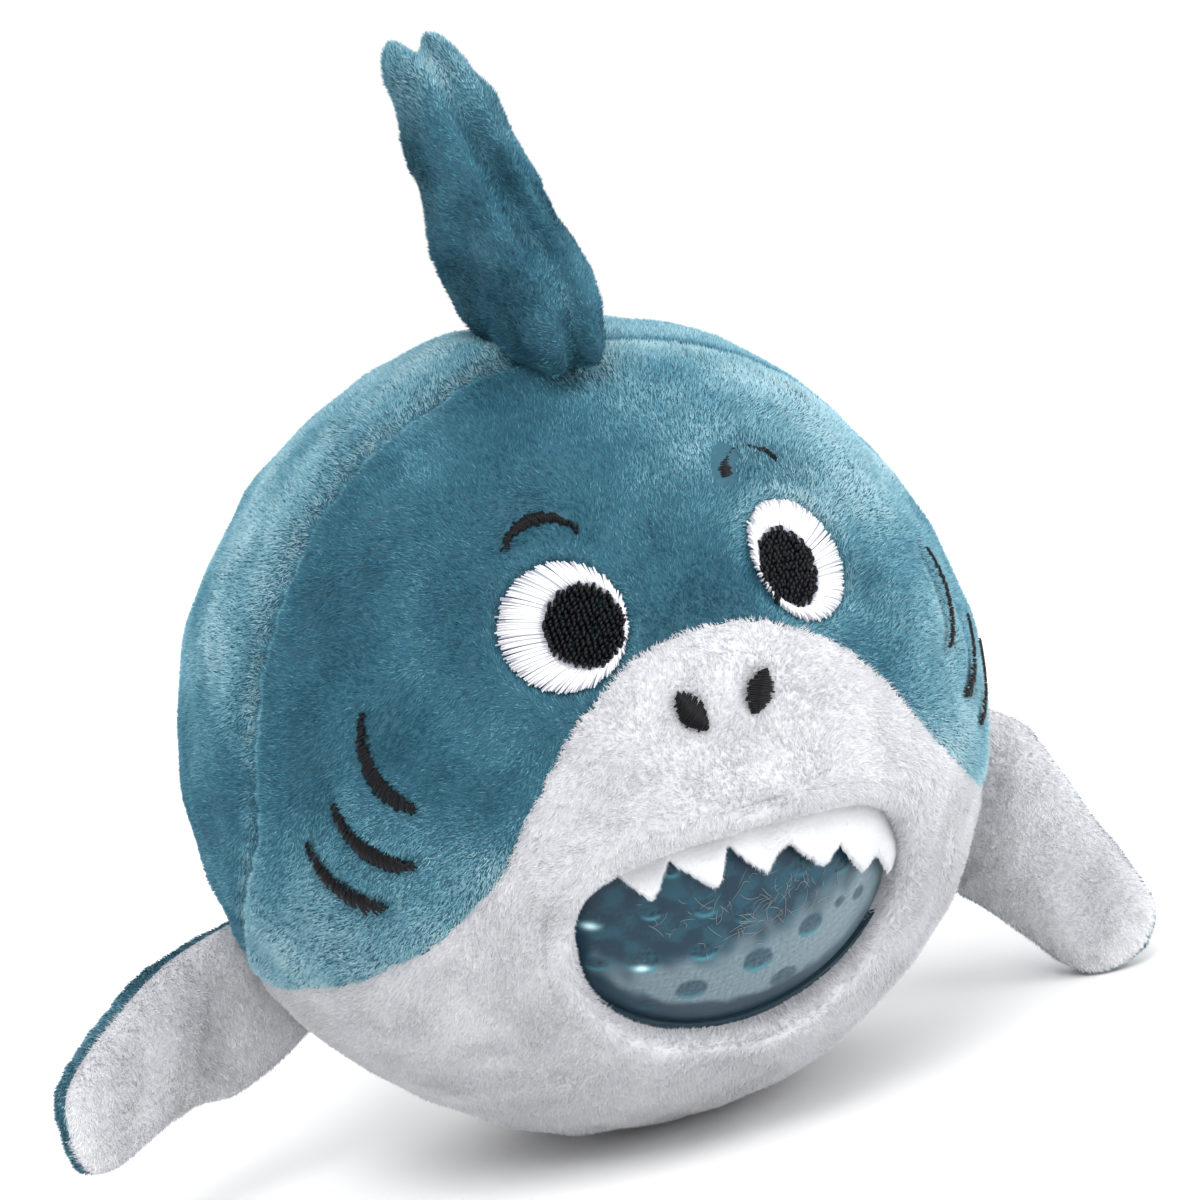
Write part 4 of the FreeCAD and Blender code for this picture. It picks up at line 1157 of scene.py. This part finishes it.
for word, side in (("left", 1), ("right", -1)):
    local = puffed_half(dorsal_line, dorsal_middle, dorsal_fullness, 2.7, side, groove=3.2, crease=0.22)
    local[..., 2] -= 0.12 * np.maximum(local[..., 1], 0.0)
    grid = in_frame(local, hinge, fin_back, fin_up, fin_left)
    stuffed_half(
        "dorsal_" + word, grid, hinge + fin_up * 6 + fin_back * 4, TEAL_BACK,
        "dorsal_fin", (root_point, hinge + fin_up * 3.0),
        ["dorsal_%s_panel" % word, "dorsal_stuffing"],
        lambda at: fin_up * 0.9 + fin_back * 0.5 + 0 * at, TEAL_PILE,
        dorsal_shade_and_sheen,
        keep=buried,
    )

# %% [markdown]
# A flipper is a paddle: round and wide at the root, smaller and round at the tip. The teal
# half is on its upper, rear side and the white half faces forward, so from the front the
# teal shows only as a thin rim along the upper edge. The right flipper is held out and the
# left one hangs, so each takes its directions from its own hinge.


# %% Flippers
def flipper_axes(sign, sweep, droop):
    """Along the flipper and out of its teal side: swept forward and drooped by two angles."""
    s, d = np.radians(sweep), np.radians(droop)
    along = np.array([sign * np.cos(s) * np.cos(d), -np.sin(s), -np.cos(s) * np.sin(d)])
    over = np.array(joints[("right" if sign < 0 else "left") + "_flipper_hinge"]["axis"])
    over = over if over[1] > 0 else -over
    return along, over, np.cross(over, along)


def turned(vector, axis, angle):
    """Rodrigues: v cos q + (k x v) sin q + k (k v)(1 - cos q), with q in degrees."""
    q = np.radians(angle)
    bent = vector * np.cos(q) + np.cross(axis, vector) * np.sin(q)
    return bent + axis * (vector @ axis) * (1 - np.cos(q))


PADDLES = {
    "right": [(-13.0, -10.0), (-13.0, 6.0), (-6.0, 9.8), (4.0, 10.2), (14.0, 9.2), (23.0, 8.4),
              (29.0, 6.4), (29.0, -2.4), (23.0, -5.0), (14.0, -5.4), (4.0, -6.6), (-6.0, -12.0)],
    "left": [(-13.0, -8.0), (-13.0, 8.0), (-6.0, 12.0), (4.0, 11.6), (14.0, 9.2), (23.0, 8.2),
             (31.5, 7.5), (30.5, -4.6), (23.0, -6.8), (14.0, -8.2), (4.0, -10.6), (-6.0, -12.0)],
}
HANG = {"right": (-1, 12.0, -11.0, 0.0), "left": (1, 57.0, 12.0, 6.0)}


# Where a flipper lies on the floor, heights from -SUNK to REST are squeezed into CLEAR to REST.
SUNK, REST, CLEAR = 1.5, 2.0, 0.05


def rooted(points, along_root):
    """Draws a flipper's root into the ball: to a radius of 43 where it starts."""
    away = points - CENTRE
    wanted = unit(away) * 43.0
    return points + (wanted - away) * ramp(1.0, -12.0, along_root)[..., None]


for word, (sign, droop, twist, sag) in HANG.items():
    paddle_line = soft_outline(PADDLES[word], 200)
    root_hinge = np.array(joints[word + "_flipper_hinge"]["pos_m"]) / MM
    along, over, wide = flipper_axes(sign, 38.0, droop)
    along, wide = turned(along, over, sag), turned(wide, over, sag)
    over, wide = turned(over, along, twist), turned(wide, along, twist)
    out_of_ball = unit(root_hinge - CENTRE)
    bend_line = (CENTRE + out_of_ball * (BALL - 1.5), root_hinge + along * 4.0)

    def fullness(flat):
        """Half thickness along the flipper: 4.9 at the root, 3.9 at the tip."""
        return 4.9 - 1.0 * ramp(4.0, 26.0, flat[..., 0])

    for kind, side in (("top", 1), ("under", -1)):
        local = puffed_half(paddle_line, np.array([9.0, 0.0]), fullness, 2.4, side)
        bow = -0.004 * (local[..., 0] - 4.0) ** 2 * (local[..., 0] > 4.0)
        local[..., 2] += bow
        grid = rooted(in_frame(local, root_hinge, along, wide, over), local[..., 0])
        low = (grid[..., 2] + SUNK) * (REST - CLEAR) / (REST + SUNK) + CLEAR
        grid[..., 2] = np.where(grid[..., 2] < REST, low, grid[..., 2])
        is_top = kind == "top"
        stuffed_half(
            "%s_flipper_%s" % (word, kind), grid, root_hinge + along * 10,
            TEAL_BACK if is_top else WHITE_BACK,
            word + "_flipper", bend_line,
            ["%s_flipper_%s" % (word, kind), word + "_flipper_stuffing"],
            lambda at, along=along: along + 0 * at, TEAL_PILE if is_top else WHITE_PILE,
            # The white halves take the brightest white shade, painted light against their shade; the teal
            # halves a middle shade.
            (lambda at: 2.0 + 0 * at[:, 0]) if is_top else (lambda at: 3.2 + 0 * at[:, 0]),
            keep=buried,
        )

# %% [markdown]
# The tail stands upright behind the ball, opposite the snout: a short stalk and two lobes.

# %% Tail fin
tail_hinge = np.array(joints["tail_hinge"]["pos_m"]) / MM
tail_out = unit(tail_hinge - CENTRE)
tail_up = np.cross(tail_out, np.array([-1.0, 0.0, 0.0]))
tail_up = tail_up if tail_up[2] > 0 else -tail_up
tail_left = np.array([1.0, 0.0, 0.0])
TAIL = [(-6.0, -8.0), (6.0, -8.0), (5.8, 0.0), (6.6, 6.5), (14.6, 15.0), (15.4, 21.6),
        (8.4, 21.6), (0.0, 15.4), (-8.4, 21.6), (-15.4, 21.6), (-14.6, 15.0), (-6.6, 6.5),
        (-5.8, 0.0)]
tail_line = soft_outline(TAIL, 200)
for word, side in (("left", 1), ("right", -1)):
    local = puffed_half(tail_line, np.array([0.0, 9.5]), 3.7, 2.4, side)
    grid = in_frame(local, tail_hinge, tail_up, tail_out, tail_left)
    stuffed_half(
        "tail_" + word, grid, tail_hinge + tail_out * 9, TEAL_BACK, "tail_fin",
        (CENTRE + tail_out * (BALL - 1.0), tail_hinge + tail_out * 3.0),
        ["tail_%s_panel" % word, "tail_stuffing"], lambda at: tail_out + 0 * at, TEAL_PILE,
        lambda at: 1.2 + 0 * at[:, 0], keep=buried,
    )

# %% [markdown]
# The lining, the gel ball, its plug and beads are inside, where nobody sees them until the
# toy is cut open. Only the dark lining shows, as a thin rim just inside the lip. They keep
# their CAD shapes and get finishes of their own; any stuffing still shown gets the wadding
# finish, and the fins' stuffing is hidden.

# %% Finish the hidden pieces
wadding = mottled("wadding", (0.72, 0.72, 0.70), (0.86, 0.86, 0.84), 900.0)
lining = mottled("dark_lining", (0.010, 0.034, 0.052), (0.022, 0.058, 0.082), 900.0)
inner_skin = mottled("rubber_skin", (0.30, 0.38, 0.40), (0.42, 0.50, 0.52), 300.0, 0.3, 0.05)
inner_gel = mottled("inner_gel", (0.010, 0.060, 0.090), (0.030, 0.120, 0.160), 120.0, 0.2, 0.0)
inner_beads = mottled("dark_bead", (0.006, 0.030, 0.045), (0.016, 0.060, 0.080), 500.0, 0.15, 0.0)
finishes = {
    "wadding_lining": lining, "gel_skin": inner_skin, "fill_plug": inner_skin,
    "gel_fill": inner_gel, "water_beads": inner_beads,
}
for name, node in frame["nodes"].items():
    finish = finishes.get(name, wadding if name.endswith("_stuffing") else None)
    if finish is not None and not node.hide_render:
        node.data.materials.clear()
        node.data.materials.append(finish)

# %% [markdown]
# ## Floor, light and camera
# The toy stands on a plain pale dish whose rim curves up out of sight, so no horizon shows
# from any side. A large soft lamp hangs over the front, a second one fills the other side,
# and a pale sky lifts the shadows.

# %% Stage
dish_radius = np.concatenate([np.linspace(0, 900, 30), 900 + 700 * np.sin(np.linspace(0.05, 1.55, 24))])
dish_height = np.concatenate([np.zeros(30), 700 * (1 - np.cos(np.linspace(0.05, 1.55, 24)))])
dish_turn = np.linspace(0, 2 * np.pi, 128, endpoint=False)
dish = np.stack([
    np.outer(dish_radius, np.cos(dish_turn)),
    np.outer(dish_radius, np.sin(dish_turn)),
    np.outer(dish_height, np.ones(128)) - 0.02,
], -1)
dish_faces = grid_faces(54, 128, around=True)
dish_faces = np.where(dish_faces < 128, 0, dish_faces)
good = (dish_faces[:, 0] != dish_faces[:, 1]) & (dish_faces[:, 1] != dish_faces[:, 2])
good &= dish_faces[:, 0] != dish_faces[:, 2]
floor_material = shader("pale_floor", (0.95, 0.95, 0.95), 0.9)[0]
floor = make_mesh("floor_dish", dish.reshape(-1, 3), dish_faces[good], floor_material)
floor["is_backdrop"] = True


def soft_lamp(name, place, size, power, colour=(1.0, 1.0, 1.0)):
    """A square area lamp at place (mm) that looks at the ball's centre."""
    lamp = bpy.data.lights.new(name, "AREA")
    lamp.shape = "SQUARE"
    lamp.size = size * MM
    lamp.energy = power
    lamp.color = colour
    holder = bpy.data.objects.new(name, lamp)
    bpy.context.scene.collection.objects.link(holder)
    holder.location = Vector(place) * MM
    look = Vector(CENTRE * MM) - holder.location
    holder.rotation_euler = look.to_track_quat("-Z", "Y").to_euler()


soft_lamp("key_lamp", (-200.0, -420.0, 620.0), 420.0, 3.4)
soft_lamp("fill_lamp", (520.0, -480.0, 260.0), 500.0, 2.5)
soft_lamp("rear_lamp", (100.0, 620.0, 520.0), 500.0, 1.5)
bpy.context.scene.view_settings.view_transform = "Standard"
world = bpy.data.worlds.new("studio")
bpy.context.scene.world = world
world.use_nodes = True
world.node_tree.nodes["Background"].inputs["Color"].default_value = (1.0, 1.0, 1.0, 1.0)
world.node_tree.nodes["Background"].inputs["Strength"].default_value = 1.0

# %% [markdown]
# The camera looks a little down at the shark's right front side, half a metre away, with the
# picture tilted so that the shark leans. It aims above the ball's centre, because the fin
# needs the room.

# %% Camera
BACKWARD = unit(np.array([-0.3229, -0.9296, 0.1775]))
RIGHTWARD = unit(np.array([0.9065, -0.3577, -0.2243]))
UPWARD = np.cross(BACKWARD, RIGHTWARD)
camera_data = bpy.data.cameras.new("camera")
camera_data.lens = 127.8
camera_data.clip_start = 0.01
camera = bpy.data.objects.new("camera", camera_data)
bpy.context.scene.collection.objects.link(camera)
stand_at = CENTRE + BACKWARD * 500.0
aim_at = CENTRE + RIGHTWARD * 2.0 + UPWARD * 14.3
back = unit(stand_at - aim_at)
right = unit(np.cross(UPWARD, back))
top = np.cross(back, right)
turned_to = Matrix(np.column_stack([right, top, back]).tolist()).to_4x4()
camera.matrix_world = Matrix.Translation(Vector(stand_at * MM)) @ turned_to
bpy.context.scene.camera = camera

# %% Print the CAD and visual boxes
low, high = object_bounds()
boxes = {"cad": [list(cad_low), list(cad_high)], "visual": [list(low), list(high)]}
print("cad box", boxes["cad"])
print("visual box", boxes["visual"])
